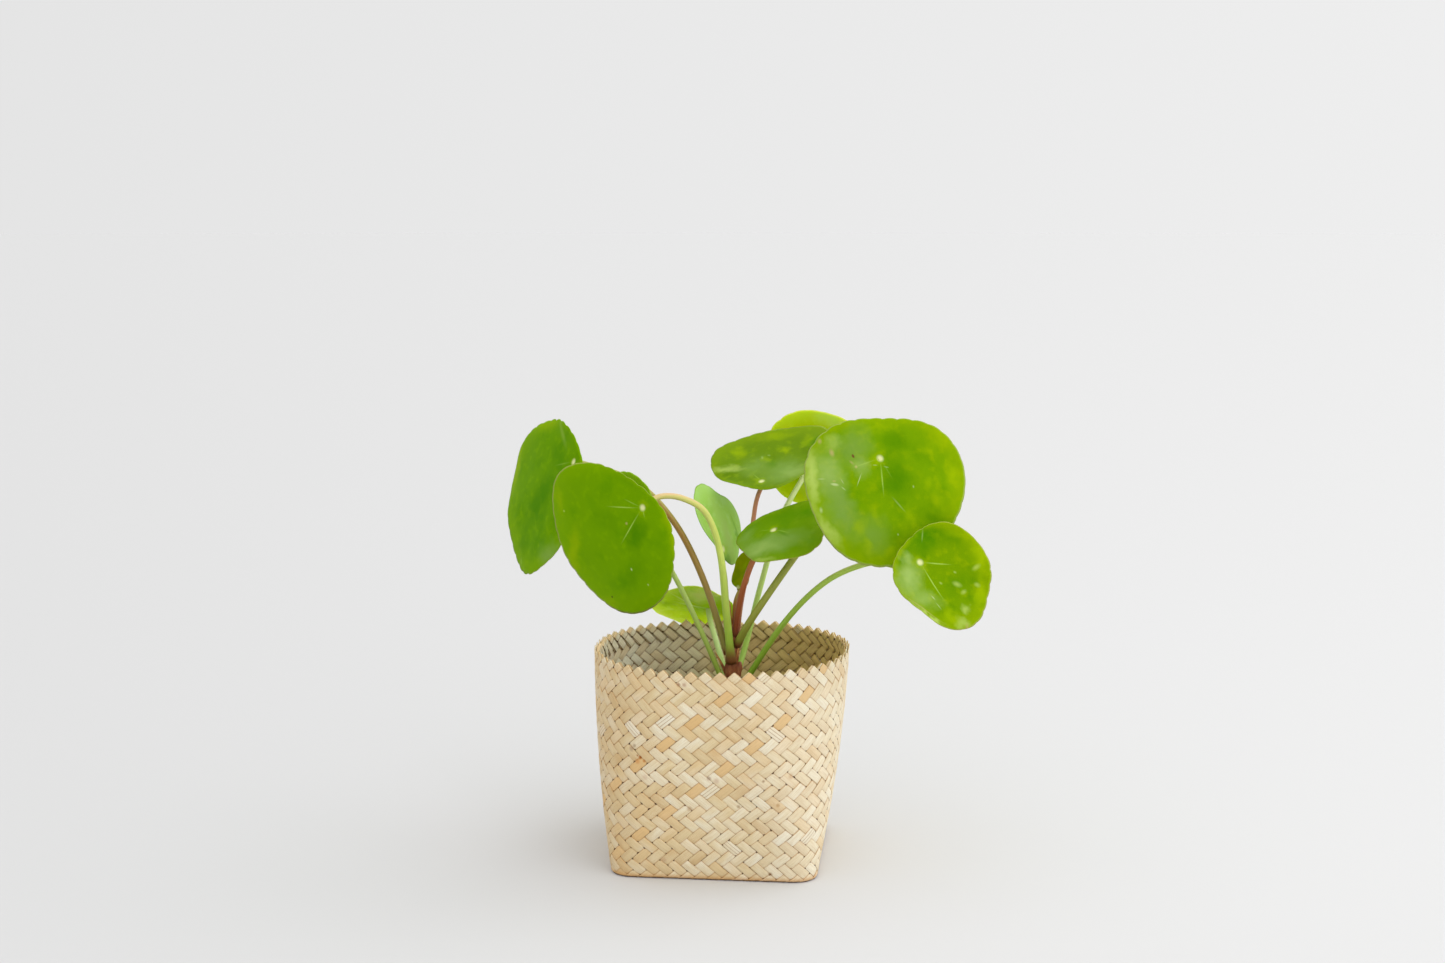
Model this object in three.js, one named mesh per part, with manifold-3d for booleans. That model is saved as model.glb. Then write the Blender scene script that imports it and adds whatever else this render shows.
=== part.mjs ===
// A potted pilea: round leaves on long stalks, growing from a short dark trunk. The trunk is
// rooted in the soil of a plain nursery pot, and the pot stands in a woven palm-leaf basket.
// Millimetres, +Z up. The origin is the centre of the basket's underside, +X is the plant's right
// and +Y its back. The basket's flat sides are square to the axes.

import * as THREE from 'three';
import { mergeVertices } from 'three/addons/utils/BufferGeometryUtils.js';
import Module from 'manifold-3d';

const wasm = await Module();
wasm.setup();

// ---------------------------------------------------------------- driving dimensions

const FULL_TURN = 2 * Math.PI;
const GAP = 0.3;                  // clearance between neighbouring pieces

const BASKET = {
  height: 112.5,                  // floor to the tips of the rim's teeth
  footHalf: 54.5,                 // half of the square foot's width
  rimHalf: 68,                    // half of the rim's width
  footCorner: 13,                 // corner radius at the foot
  rimCorner: 64,                  // corner radius at the rim, nearly a full circle
  belly: 1.7,                     // how far the sides swell between foot and rim
  strands: 58,                    // strands of each slant
  levels: 36,                     // crossings from foot to rim
  phase: -0.19,                   // where the first tooth stands, in strands from the front middle
  strandRise: 0.8,                // how far a strand stands out of the weave
  wall: 0.9,                      // wall between the low points of its two faces
  footEdge: 1.6,                  // height of the rounded lower edge
  floorTop: 2.4,                  // top of the woven floor
  footInset: 2,                   // how far the flat underside lies inside the lower edge
  reliefFrom: 24,                 // level from which the inner face is seen above the pot
  linerLevels: [0, 12],           // rows of the plain inner face below that
};
const REST_SPOT = 20;             // radius of the middle facet that the basket rests on

const POT = {
  footRadius: 36, topRadius: 49, height: 73, wall: 1.2, floor: 1.5,
  lipRadius: 51.5, lipHeight: 6, sides: 40,
  drainRadius: 3.5, drainCircle: 24, drains: 4, drainSides: 12,
};
const POT_FOOT = BASKET.floorTop + GAP;

// The soil's top is crowned and lumpy. crown and lump are heights, and taper keeps its side a
// little steeper than the pot's, so that the gap between them never closes.
const SOIL = {
  top: 69, crown: 2.5, lump: 0.9, sides: 24, rings: [0.8, 0.6, 0.4, 0.2, 0], taper: 0.98,
  holeRadius: 4.3, holeFoot: 46, holeSides: 16,
};

const TRUNK = {
  route: [[4.5, 0.5, 46.5], [4.5, 0.5, 75], [4.5, 0.5, 98], [5.5, 0.7, 112], [6.3, 0.9, 123]],
  radius: 3.3, topRadius: 1.9, taperFrom: 0.8, ringRise: 0.18, rings: 9, sides: 12, steps: 27,
};

// The stump of a side shoot at the trunk's right, and its rounded top.
const STUMP = { foot: [6.5, 0.6, 88], top: [9.3, 1.4, 101.5], radius: 1.8, sides: 8 };

// Papery stipules on the trunk: where each springs from it, where its point is, and its width.
const STIPULES = [
  { root: [4.6, 1.0, 116], point: [3.6, 1.2, 137], width: 3.4 },
  { root: [7.6, -0.2, 100], point: [9.6, -0.4, 117], width: 4.2 },
  { root: [7.4, 1.2, 115], point: [10.6, 1.2, 133], width: 3.0 },
  { root: [3.4, 1.2, 94], point: [-4.2, 1.6, 108], width: 3.6 },
];
const STIPULE_THICKNESS = 0.8;
const STIPULE_SIDES = 6;

const BLADE = {
  thickness: 0.8, sectors: 32, smallSectors: 20, smallLeaf: 15,
  rings: [0.42, 0.78, 1],         // places of the rings of points from navel to margin
  notch: 0.012,                   // depth of the margin's round teeth, as a share of the reach
};
const STALK = { sides: 7, stepLength: 9 };

// The leaves, from left to right and front to back. navel is where the stalk meets the blade.
// turn is how far the blade faces to the right of the front and tilt how far it faces up, in
// degrees. tip is the way from navel to leaf tip within the blade, in degrees anticlockwise from
// the blade's level line. The outline is an oval of half length and half width about a centre
// that lies offset from the navel, made egg-shaped or squarish by a share of its reach, each
// with its own direction. cup is how far the margin stands above the middle, and ripple is the
// height of the margin's slow waves. The stalk runs through the points of its route to the navel.
const LEAVES = [
  { name: 'far_left', navel: [-79.5, -0.5, 209.5], turn: -54, tilt: 12, tip: -146,
    offset: 37.8, length: 43.7, width: 42.1, egg: [0.04, 50], square: [0.025, -45],
    cup: -3, ripple: 0.9,
    route: [[2.8, 0.8, 107], [-11, 4.5, 147], [-27.5, 9.5, 177], [-49, 10, 198]],
    stalk: [1.8, 1.7], leafColour: 0x6ea50c, stalkColour: 0x8a5a34 },
  { name: 'front_left', navel: [-34.5, -54, 193.5], turn: -32, tilt: -14, tip: -143,
    offset: 32, length: 39.9, width: 42.6, egg: [0.044, 45], square: [0.005, 19],
    cup: -4, ripple: 0.8,
    route: [[5, -2, 103], [3, -7.5, 130], [1, -20, 165], [-5, -31.5, 187.5], [-16, -40, 196.5],
      [-27, -45.5, 198]],
    stalk: [2.15, 1.45], leafColour: 0x6fa70a, stalkColour: 0x9dbb44 },
  { name: 'behind_front_left', navel: [-50.5, -20, 188], turn: -44, tilt: 8, tip: -95,
    offset: 6, length: 26, width: 25, egg: [0.03, 0], square: [0, 0],
    cup: -2, ripple: 0.8,
    route: [[2.5, -1, 87], [-9.5, -3.5, 116.5], [-24, -4.5, 147.5], [-39, -8.5, 173.5]],
    stalk: [1.45, 1.35], leafColour: 0x74a818, stalkColour: 0x8fb24a },
  { name: 'low_back', navel: [-14.5, 63, 119], turn: 174, tilt: 52, tip: -12,
    offset: 9, length: 25, width: 25, egg: [0.04, 0], square: [0, 0],
    cup: 1.5, ripple: 0.6,
    route: [[2.5, 2, 92], [-3.5, 18, 103.5], [-8.5, 36.5, 109.5], [-12.5, 52.5, 113.5]],
    stalk: [1.6, 1.5], leafColour: 0x9cc44a, stalkColour: 0xa4c274 },
  { name: 'small_middle', navel: [-0.5, 8, 162.5], turn: 72, tilt: 22, tip: 58,
    offset: 16.8, length: 20.6, width: 24.1, egg: [0.115, -47], square: [0.066, 35],
    cup: -2, ripple: 0.5,
    route: [[4.5, 2.6, 114], [2, 5, 132.5], [0.5, 6.5, 148.5]],
    stalk: [1.3, 1.2], leafColour: 0x7fb45c, stalkColour: 0x9dbb50 },
  { name: 'youngest', navel: [7.5, 6, 141.5], turn: -44, tilt: 12, tip: 88,
    offset: 9.6, length: 10.3, width: 6.8, egg: [0.1, -9], square: [0.09, -38],
    cup: 1, ripple: 0,
    route: [[6, 2, 121], [6.5, 3.5, 134.5]],
    stalk: [1.2, 1], leafColour: 0x7d8a14, stalkColour: 0x8a5a30 },
  { name: 'middle', navel: [28.5, -15, 177], turn: -32, tilt: 58, tip: 24,
    offset: 4.1, length: 24.3, width: 24.5, egg: [0.103, -57], square: [0.082, -25],
    cup: -3, ripple: 0.6,
    route: [[6.5, -0.5, 117.5], [9, -3, 133], [12.5, -6.5, 147], [18.5, -9, 162]],
    stalk: [1.65, 1.5], leafColour: 0x5f9a14, stalkColour: 0x93492c },
  { name: 'upper_middle', navel: [19.5, 14, 198.5], turn: -26, tilt: 62, tip: 105,
    offset: 22.7, length: 30.4, width: 33.1, egg: [0.088, -42], square: [0.033, 43],
    cup: 2, ripple: 0.8,
    route: [[7.2, 3.4, 113], [9, 7, 132], [12.5, 11.5, 153.5], [16, 15.5, 185]],
    stalk: [1.35, 1.2], leafColour: 0x6a9f1e, stalkColour: 0xa06a50 },
  { name: 'top_back', navel: [37, 76.5, 193], turn: 186, tilt: 14, tip: 115,
    offset: 14, length: 28.5, width: 28.5, egg: [0.04, 48], square: [0, 0],
    cup: -2, ripple: 0.8,
    route: [[6.5, 2, 92], [10.5, 19.5, 108], [17.5, 34, 139], [26.5, 50.5, 172]],
    stalk: [1.6, 1.5], leafColour: 0xa6c81e, stalkColour: 0xb2cc72 },
  { name: 'big_right', navel: [84, -37, 218], turn: 9, tilt: 22, tip: -82,
    offset: 15.1, length: 39.5, width: 41.2, egg: [0.049, -11], square: [0.014, 40],
    cup: -3, ripple: 1.2,
    route: [[7.5, -0.5, 112], [17.5, -8, 130], [41, -5, 164.5], [67, -11, 199.5]],
    stalk: [2, 1.8], leafColour: 0x72a810, stalkColour: 0x8a9a34 },
  { name: 'far_right', navel: [105, -67, 170.5], turn: 30, tilt: 26, tip: -35,
    offset: 13.6, length: 26.7, width: 26.9, egg: [0.057, -35], square: [0.029, 37],
    cup: 3, ripple: 0.6,
    route: [[7, -0.5, 84], [33, -11, 126], [55.5, -22, 151], [77, -35, 163.5], [89.5, -43.5, 165],
      [98, -54.5, 163.5]],
    stalk: [1.65, 1.45], leafColour: 0x72aa10, stalkColour: 0x7fa62c },
];

// ---------------------------------------------------------------- small helpers

const radians = THREE.MathUtils.degToRad;

function surfaceOf(points, triangles) {
  const geometry = new THREE.BufferGeometry();
  geometry.setAttribute('position', new THREE.Float32BufferAttribute(points.flat(), 3));
  geometry.setIndex(triangles.flat());
  return geometry;
}

function sealed(geometry) {
  geometry.deleteAttribute('normal');
  geometry.deleteAttribute('uv');
  return mergeVertices(geometry, 1e-4);
}

function toSolid(geometry) {
  const closed = sealed(geometry);
  return new wasm.Manifold(new wasm.Mesh({
    numProp: 3,
    vertProperties: new Float32Array(closed.attributes.position.array),
    triVerts: new Uint32Array(closed.index.array),
  }));
}

function fromSolid(solid) {
  const mesh = solid.getMesh();
  const geometry = new THREE.BufferGeometry();
  geometry.setAttribute('position', new THREE.BufferAttribute(mesh.vertProperties, 3));
  geometry.setIndex(new THREE.BufferAttribute(mesh.triVerts, 1));
  return geometry;
}

function piece(name, geometry, colour, roughness) {
  const material = new THREE.MeshStandardMaterial({ color: colour, roughness, metalness: 0 });
  const mesh = new THREE.Mesh(geometry, material);
  mesh.name = name;
  return mesh;
}

function curveThrough(points) {
  const knots = points.map((point) => new THREE.Vector3(...point));
  return new THREE.CatmullRomCurve3(knots, false, 'catmullrom', 0.5);
}

// A round rod that follows a curve: a unit cylinder is bent along it, and radiusAt gives its
// radius for every share of the way.
function rodAlong(curve, sides, steps, radiusAt) {
  const rod = new THREE.CylinderGeometry(1, 1, 1, sides, steps);
  const frames = curve.computeFrenetFrames(steps);
  const position = rod.attributes.position;
  for (let index = 0; index < position.count; index += 1) {
    const share = position.getY(index) + 0.5;
    const step = Math.round(share * steps);
    const radius = radiusAt(share);
    const place = curve.getPointAt(share)
      .addScaledVector(frames.normals[step], position.getX(index) * radius)
      .addScaledVector(frames.binormals[step], -position.getZ(index) * radius);
    position.setXYZ(index, place.x, place.y, place.z);
  }
  return sealed(rod);
}

// ---------------------------------------------------------------- woven basket

// A point of a rounded square. share runs once round it anticlockwise from the middle of the
// front side, so that the corners lie at the same shares at every height.
function roundedSquarePoint(half, corner, share) {
  const straight = half - corner;
  const arc = corner * Math.PI / 2;
  const quarter = 2 * straight + arc;
  const along = (((share % 1) + 1) % 1) * 4 * quarter;
  const side = Math.floor(along / quarter);
  const rest = along - side * quarter;
  let x = half;
  let y = rest - arc - 2 * straight;
  if (rest < straight) {
    x = rest;
    y = -half;
  } else if (rest < straight + arc) {
    const bend = (rest - straight) / corner;
    x = straight + corner * Math.sin(bend);
    y = -straight - corner * Math.cos(bend);
  }
  const turn = side * Math.PI / 2;
  return [x * Math.cos(turn) - y * Math.sin(turn), x * Math.sin(turn) + y * Math.cos(turn)];
}

// A point of the basket's wall, sunk by depth below its outermost face.
function wallPoint(share, level, depth, z) {
  const rise = level / BASKET.levels;
  const swell = BASKET.belly * 4 * rise * (1 - rise);
  const half = BASKET.footHalf + (BASKET.rimHalf - BASKET.footHalf) * rise + swell;
  const corner = BASKET.footCorner + (BASKET.rimCorner - BASKET.footCorner) * rise;
  const [x, y] = roundedSquarePoint(half - depth, corner - depth, share);
  return [x, y, z];
}

function levelHeight(level) {
  return BASKET.footEdge + (BASKET.height - BASKET.footEdge) * level / BASKET.levels;
}

// One face of the weave, a 2/2 diagonal twill, from a level up to the teeth. The crossings form
// a lattice. Every strand passes over two of them, and that float is a brick with six corners and
// a raised middle. Two levels slant one way and the next two the other, and the inner face shows
// the other strand of each crossing.
function weaveFace(mesh, outer, fromLevel) {
  const { strands, levels, phase, strandRise, wall } = BASKET;
  const lowDepth = outer ? strandRise : strandRise + wall;
  const highDepth = outer ? 0 : 2 * strandRise + wall;
  const latticePoint = (level, column, depth) => {
    const share = (column + phase) / strands;
    return mesh.add(wallPoint(share, level, depth, levelHeight(level)));
  };
  const knots = new Map();
  for (let level = fromLevel; level <= levels; level += 1) {
    knots.set(level, Array.from({ length: strands }, (_, column) => (
      latticePoint(level, column + (level % 2) / 2, lowDepth))));
  }
  const knot = (level, column) => knots.get(level)[((column % strands) + strands) % strands];
  const fan = (middle, corners) => corners.forEach((corner, index) => {
    const next = corners[(index + 1) % corners.length];
    mesh.face(outer ? [corner, next, middle] : [next, corner, middle]);
  });
  for (let column = 0; column < strands; column += 1) {
    const foot = [knot(fromLevel, column), knot(fromLevel, column + 1),
      knot(fromLevel + 1, column)];
    mesh.face(outer ? foot : foot.reverse());
    for (let level = fromLevel + 1; level < levels - 1; level += 2) {
      // the lower crossing of a float has an odd level, and lean is the way to the upper one
      const rightward = (level % 4 === 3) === outer;
      const lean = rightward ? 1 : 0;
      const middle = latticePoint(level + 0.5, column + 0.75 + lean / 2, highDepth);
      const lower = [knot(level, column), knot(level - 1, column + 1), knot(level, column + 1)];
      const upper = [knot(level + 1, column + 1 + lean), knot(level + 2, column + lean),
        knot(level + 1, column + lean)];
      fan(middle, [...lower, ...upper]);
    }
    // the tooth is a single crossing
    const top = levels - 1;
    fan(latticePoint(top, column + 1, highDepth), [knot(top, column), knot(top - 1, column + 1),
      knot(top, column + 1), knot(levels, column + 1)]);
  }
  return { foot: knots.get(fromLevel), valleys: knots.get(levels - 1), tips: knots.get(levels) };
}

// The plain inner face from the basket's floor up to the foot of the inner weave.
function plainLiner(mesh, top) {
  const { strands, strandRise, wall, floorTop, phase, linerLevels } = BASKET;
  const rows = linerLevels.map((level) => Array.from({ length: strands }, (_, column) => {
    const z = level === 0 ? floorTop : levelHeight(level);
    return mesh.add(wallPoint((column + phase) / strands, level, strandRise + wall, z));
  }));
  rows.push(top);
  for (let row = 1; row < rows.length; row += 1) {
    for (let column = 0; column < strands; column += 1) {
      const next = (column + 1) % strands;
      const [below, above] = [rows[row - 1], rows[row]];
      mesh.face([below[column], above[next], below[next]]);
      mesh.face([below[column], above[column], above[next]]);
    }
  }
  return rows[0];
}

// A level plate inside a ring of points, split round a middle triangle.
function plate(mesh, ring, z, facesUp) {
  const outline = ring.map((index) => new THREE.Vector2(...mesh.points[index]));
  const spot = [90, 330, 210].map((angle) => new THREE.Vector2(
    REST_SPOT * Math.cos(radians(angle)), REST_SPOT * Math.sin(radians(angle))));
  const spotIndex = spot.map((point) => mesh.add([point.x, point.y, z]));
  const index = [...ring, ...spotIndex];
  const faces = THREE.ShapeUtils.triangulateShape(outline, [spot]);
  faces.push([ring.length, ring.length + 2, ring.length + 1]);
  for (const [a, b, c] of faces) {
    mesh.face(facesUp ? [index[a], index[b], index[c]] : [index[a], index[c], index[b]]);
  }
}

function wovenBasket() {
  const points = [];
  const faces = [];
  const mesh = {
    points,
    add: (point) => points.push(point) - 1,
    face: (triangle) => faces.push(triangle),
  };
  const { strands, phase, footInset, reliefFrom } = BASKET;
  const outside = weaveFace(mesh, true, 0);
  const inside = weaveFace(mesh, false, reliefFrom);
  const innerFoot = plainLiner(mesh, inside.foot);
  for (let column = 0; column < strands; column += 1) {
    // the top edge is a row of teeth: from a valley up to a tip and down to the next valley
    const tip = (column + 1) % strands;
    const steps = [[outside.valleys[column], inside.valleys[column]],
      [outside.tips[tip], inside.tips[tip]],
      [outside.valleys[tip], inside.valleys[tip]]];
    for (let step = 0; step < 2; step += 1) {
      const [[outerFrom, innerFrom], [outerTo, innerTo]] = [steps[step], steps[step + 1]];
      mesh.face([outerFrom, outerTo, innerTo]);
      mesh.face([outerFrom, innerTo, innerFrom]);
    }
  }
  const under = outside.foot.map((_, column) => (
    mesh.add(wallPoint((column + phase) / strands, 0, footInset, 0))));
  for (let column = 0; column < strands; column += 1) {
    const next = (column + 1) % strands;
    mesh.face([under[column], under[next], outside.foot[next]]);
    mesh.face([under[column], outside.foot[next], outside.foot[column]]);
  }
  plate(mesh, under, 0, false);
  plate(mesh, innerFoot, BASKET.floorTop, true);
  return surfaceOf(points, faces);
}

// ---------------------------------------------------------------- pot and soil

function growerPot() {
  const { footRadius, topRadius, height, wall, floor, lipRadius, lipHeight } = POT;
  const top = POT_FOOT + height;
  const profile = [
    [0, POT_FOOT], [footRadius, POT_FOOT], [topRadius, top - lipHeight],
    [lipRadius, top - lipHeight], [lipRadius, top], [topRadius - wall, top],
    [footRadius - wall, POT_FOOT + floor], [0, POT_FOOT + floor],
  ];
  const outline = profile.map((point) => new THREE.Vector2(...point));
  const shell = new THREE.LatheGeometry(outline, POT.sides);
  shell.rotateX(Math.PI / 2);
  let pot = toSolid(shell);
  for (let drain = 0; drain < POT.drains; drain += 1) {
    const turn = FULL_TURN * (drain + 0.5) / POT.drains;
    const depth = 2 * (floor + GAP);
    const bit = new THREE.CylinderGeometry(
      POT.drainRadius, POT.drainRadius, 2 * depth, POT.drainSides);
    bit.rotateX(Math.PI / 2);
    bit.translate(POT.drainCircle * Math.cos(turn), POT.drainCircle * Math.sin(turn), POT_FOOT);
    pot = pot.subtract(toSolid(bit));
  }
  return fromSolid(pot);
}

// The soil fills the pot to just under its rim, and the trunk stands in a plain hole.
function pottingSoil() {
  const foot = POT_FOOT + POT.floor + GAP;
  const slope = (POT.topRadius - POT.footRadius) / (POT.height - POT.floor);
  const radiusAt = (z) => POT.footRadius - POT.wall - GAP + (z - foot) * slope * SOIL.taper;
  const edge = radiusAt(SOIL.top);
  const profile = [[0, foot], [radiusAt(foot), foot], [edge, SOIL.top]];
  for (const share of SOIL.rings) {
    profile.push([edge * share, SOIL.top + SOIL.crown * (1 - share * share)]);
  }
  const outline = profile.map((point) => new THREE.Vector2(...point));
  const bed = new THREE.LatheGeometry(outline, SOIL.sides);
  bed.rotateX(Math.PI / 2);
  const position = bed.attributes.position;
  for (let index = 0; index < position.count; index += 1) {
    const [x, y, z] = [position.getX(index), position.getY(index), position.getZ(index)];
    const reach = Math.hypot(x, y);
    if (z > SOIL.top && reach > 1) {
      const lumps = Math.sin(0.9 * x + 1.3) * Math.cos(0.7 * y - 0.4) + Math.sin(0.5 * (x + y));
      position.setZ(index, z + SOIL.lump * lumps * 0.5);
    }
  }
  const [x, y] = TRUNK.route[0];
  const top = SOIL.top + 4 * SOIL.crown;
  const hole = new THREE.CylinderGeometry(
    SOIL.holeRadius, SOIL.holeRadius, top - SOIL.holeFoot, SOIL.holeSides);
  hole.rotateX(Math.PI / 2);
  hole.translate(x, y, (top + SOIL.holeFoot) / 2);
  return fromSolid(toSolid(bed).subtract(toSolid(hole)));
}

// ---------------------------------------------------------------- leaves and stalks

function leafAxes({ turn, tilt, tip }) {
  const [a, e, t] = [radians(turn), radians(tilt), radians(tip)];
  const facing = new THREE.Vector3(Math.sin(a) * Math.cos(e), -Math.cos(a) * Math.cos(e),
    Math.sin(e));
  const level = new THREE.Vector3(Math.cos(a), Math.sin(a), 0);
  const rising = new THREE.Vector3().crossVectors(facing, level);
  const along = level.clone().multiplyScalar(Math.cos(t)).addScaledVector(rising, Math.sin(t));
  const aside = level.clone().multiplyScalar(-Math.sin(t)).addScaledVector(rising, Math.cos(t));
  return { facing, along, aside };
}

// The blade's reach from the centre of its oval, in a direction measured from the tip.
function leafReach(leaf, angle) {
  const oval = 1 / Math.hypot(Math.cos(angle) / leaf.length, Math.sin(angle) / leaf.width);
  const egg = leaf.egg[0] * Math.cos(3 * (angle - radians(leaf.egg[1])));
  const square = leaf.square[0] * Math.cos(4 * (angle - radians(leaf.square[1])));
  return oval * (1 + egg + square);
}

function leafBlade(leaf) {
  const { facing, along, aside } = leafAxes(leaf);
  const small = leaf.length < BLADE.smallLeaf;
  const sectors = small ? BLADE.smallSectors : BLADE.sectors;
  const navel = new THREE.Vector3(...leaf.navel);
  const size = (leaf.length + leaf.width) / 2;
  const placed = (p, q, share, angle, face) => {
    const fromCentre = (p - leaf.offset) ** 2 + q ** 2;
    const cup = leaf.cup * (fromCentre - leaf.offset ** 2) / size ** 2;
    const ripple = leaf.ripple * share ** 3 * Math.sin(5 * angle + leaf.navel[0]);
    return navel.clone().addScaledVector(along, p).addScaledVector(aside, q)
      .addScaledVector(facing, cup + ripple + face * BLADE.thickness / 2).toArray();
  };
  const points = [placed(0, 0, 0, 0, 1), placed(0, 0, 0, 0, -1)];
  const faces = [];
  const rows = BLADE.rings.map((share) => [1, -1].map((face) => {
    const row = [];
    for (let sector = 0; sector < sectors; sector += 1) {
      const angle = FULL_TURN * sector / sectors;
      const notch = share === 1 && !small ? BLADE.notch * (sector % 2 ? 1 : -1) : 0;
      const reach = leafReach(leaf, angle) * (1 + notch);
      const p = share * (leaf.offset + reach * Math.cos(angle));
      const q = share * reach * Math.sin(angle);
      row.push(points.push(placed(p, q, share, angle, face)) - 1);
    }
    return row;
  }));
  for (let sector = 0; sector < sectors; sector += 1) {
    const next = (sector + 1) % sectors;
    faces.push([0, rows[0][0][sector], rows[0][0][next]]);
    faces.push([1, rows[0][1][next], rows[0][1][sector]]);
    for (let ring = 1; ring < rows.length; ring += 1) {
      const [[upIn, downIn], [upOut, downOut]] = [rows[ring - 1], rows[ring]];
      faces.push([upIn[sector], upOut[sector], upOut[next]]);
      faces.push([upIn[sector], upOut[next], upIn[next]]);
      faces.push([downIn[sector], downOut[next], downOut[sector]]);
      faces.push([downIn[sector], downIn[next], downOut[next]]);
    }
    const [up, down] = rows[rows.length - 1];
    faces.push([up[sector], down[sector], down[next]]);
    faces.push([up[sector], down[next], up[next]]);
  }
  return surfaceOf(points, faces);
}

// The stalk ends just under the blade's navel, and its foot is sunk in the trunk.
function leafStalk(leaf, grow = 0) {
  const { facing } = leafAxes(leaf);
  const end = new THREE.Vector3(...leaf.navel)
    .addScaledVector(facing, -(BLADE.thickness / 2 + leaf.stalk[1] + GAP));
  const curve = curveThrough([...leaf.route, end.toArray()]);
  const steps = Math.ceil(curve.getLength() / STALK.stepLength);
  const [footRadius, topRadius] = leaf.stalk;
  return rodAlong(curve, STALK.sides, steps,
    (share) => footRadius + (topRadius - footRadius) * share + grow);
}

// ---------------------------------------------------------------- trunk

// A stipule is a flat pointed scale, thickest where it springs from the trunk.
function stipule({ root, point, width }) {
  const from = new THREE.Vector3(...root);
  const axis = new THREE.Vector3(...point).sub(from);
  const length = axis.length();
  const scale = new THREE.ConeGeometry(width / 2, length, STIPULE_SIDES);
  scale.scale(1, 1, STIPULE_THICKNESS / width * 2);
  scale.translate(0, length / 2, 0);
  const upright = new THREE.Vector3(0, 1, 0);
  scale.applyQuaternion(new THREE.Quaternion().setFromUnitVectors(upright, axis.normalize()));
  scale.translate(from.x, from.y, from.z);
  return toSolid(scale);
}

function trunkRadius(share) {
  const ringed = TRUNK.radius + TRUNK.ringRise * Math.sin(FULL_TURN * TRUNK.rings * share);
  if (share < TRUNK.taperFrom) return ringed;
  const ease = (share - TRUNK.taperFrom) / (1 - TRUNK.taperFrom);
  return ringed + (TRUNK.topRadius - TRUNK.radius) * ease ** 1.5;
}

function stump() {
  const foot = new THREE.Vector3(...STUMP.foot);
  const top = new THREE.Vector3(...STUMP.top);
  const axis = top.clone().sub(foot);
  const body = new THREE.CapsuleGeometry(STUMP.radius, axis.length(), 3, STUMP.sides);
  const upright = new THREE.Vector3(0, 1, 0);
  body.applyQuaternion(new THREE.Quaternion().setFromUnitVectors(upright, axis.normalize()));
  const middle = foot.add(top).multiplyScalar(0.5);
  body.translate(middle.x, middle.y, middle.z);
  return toSolid(body);
}

function trunk() {
  const curve = curveThrough(TRUNK.route);
  let solid = toSolid(rodAlong(curve, TRUNK.sides, TRUNK.steps, trunkRadius)).add(stump());
  for (const scale of STIPULES) solid = solid.add(stipule(scale));
  for (const leaf of LEAVES) solid = solid.subtract(toSolid(leafStalk(leaf, GAP)));
  // a sliver that the stalks' sockets cut loose is dropped
  const bodies = solid.decompose().sort((a, b) => b.volume() - a.volume());
  return fromSolid(bodies[0]);
}

// ---------------------------------------------------------------- the plant

const plant = new THREE.Group();
plant.add(piece('woven_basket', wovenBasket(), 0xe1cda5, 0.75));
plant.add(piece('grower_pot', growerPot(), 0x2a2724, 0.55));
plant.add(piece('potting_soil', pottingSoil(), 0x1b1411, 0.95));
plant.add(piece('trunk', trunk(), 0x46140f, 0.6));
for (const leaf of LEAVES) {
  plant.add(piece(`stalk_${leaf.name}`, leafStalk(leaf), leaf.stalkColour, 0.5));
  plant.add(piece(`leaf_${leaf.name}`, leafBlade(leaf), leaf.leafColour, 0.45));
}

export default plant;
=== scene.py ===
# A potted pilea in a woven palm-leaf basket: its finished surfaces, the studio and the camera.
# Lengths are in millimetres, and each mesh is scaled to metres when it is finished. The shapes
# follow the same named sizes as the solids that they stand for.

import math
import random

import bmesh
import bpy
from mathutils import Matrix, Vector, noise


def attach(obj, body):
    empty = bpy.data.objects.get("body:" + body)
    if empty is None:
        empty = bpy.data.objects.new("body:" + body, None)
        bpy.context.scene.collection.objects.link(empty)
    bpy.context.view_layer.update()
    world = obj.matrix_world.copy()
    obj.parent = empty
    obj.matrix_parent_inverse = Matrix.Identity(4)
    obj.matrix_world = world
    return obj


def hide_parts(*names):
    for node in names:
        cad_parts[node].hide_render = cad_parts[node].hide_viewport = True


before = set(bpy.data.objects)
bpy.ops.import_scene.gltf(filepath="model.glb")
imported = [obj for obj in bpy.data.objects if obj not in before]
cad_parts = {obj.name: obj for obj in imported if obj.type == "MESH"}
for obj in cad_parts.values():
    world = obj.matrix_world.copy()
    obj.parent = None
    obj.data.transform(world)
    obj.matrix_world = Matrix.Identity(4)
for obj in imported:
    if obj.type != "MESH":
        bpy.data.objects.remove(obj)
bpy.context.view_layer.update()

MM = 0.001
FULL_TURN = 2 * math.pi
BODY = "root"

# ---------------------------------------------------------------- sizes of the basket

BASKET_HEIGHT = 112.5       # floor to the tips of the rim's teeth
FOOT_HALF = 54.5            # half of the square foot's width
RIM_HALF = 68               # half of the rim's width
FOOT_CORNER = 13            # corner radius at the foot
RIM_CORNER = 64             # corner radius at the rim
BELLY = 1.7                 # how far the sides swell between foot and rim
FOOT_EDGE = 1.6             # height and radius of the rounded lower edge
STRANDS = 58                # strands of each slant, once round
LEVELS = 36                 # crossings from foot to rim
TOP_LEVEL = 35              # level of the crossings just under the teeth's tips
PHASE = -0.19               # where the first tooth stands, in strands from the front middle
LEVEL_RISE = (BASKET_HEIGHT - FOOT_EDGE) / LEVELS
CELL = 4.8                  # length of one crossing along a strand

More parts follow.
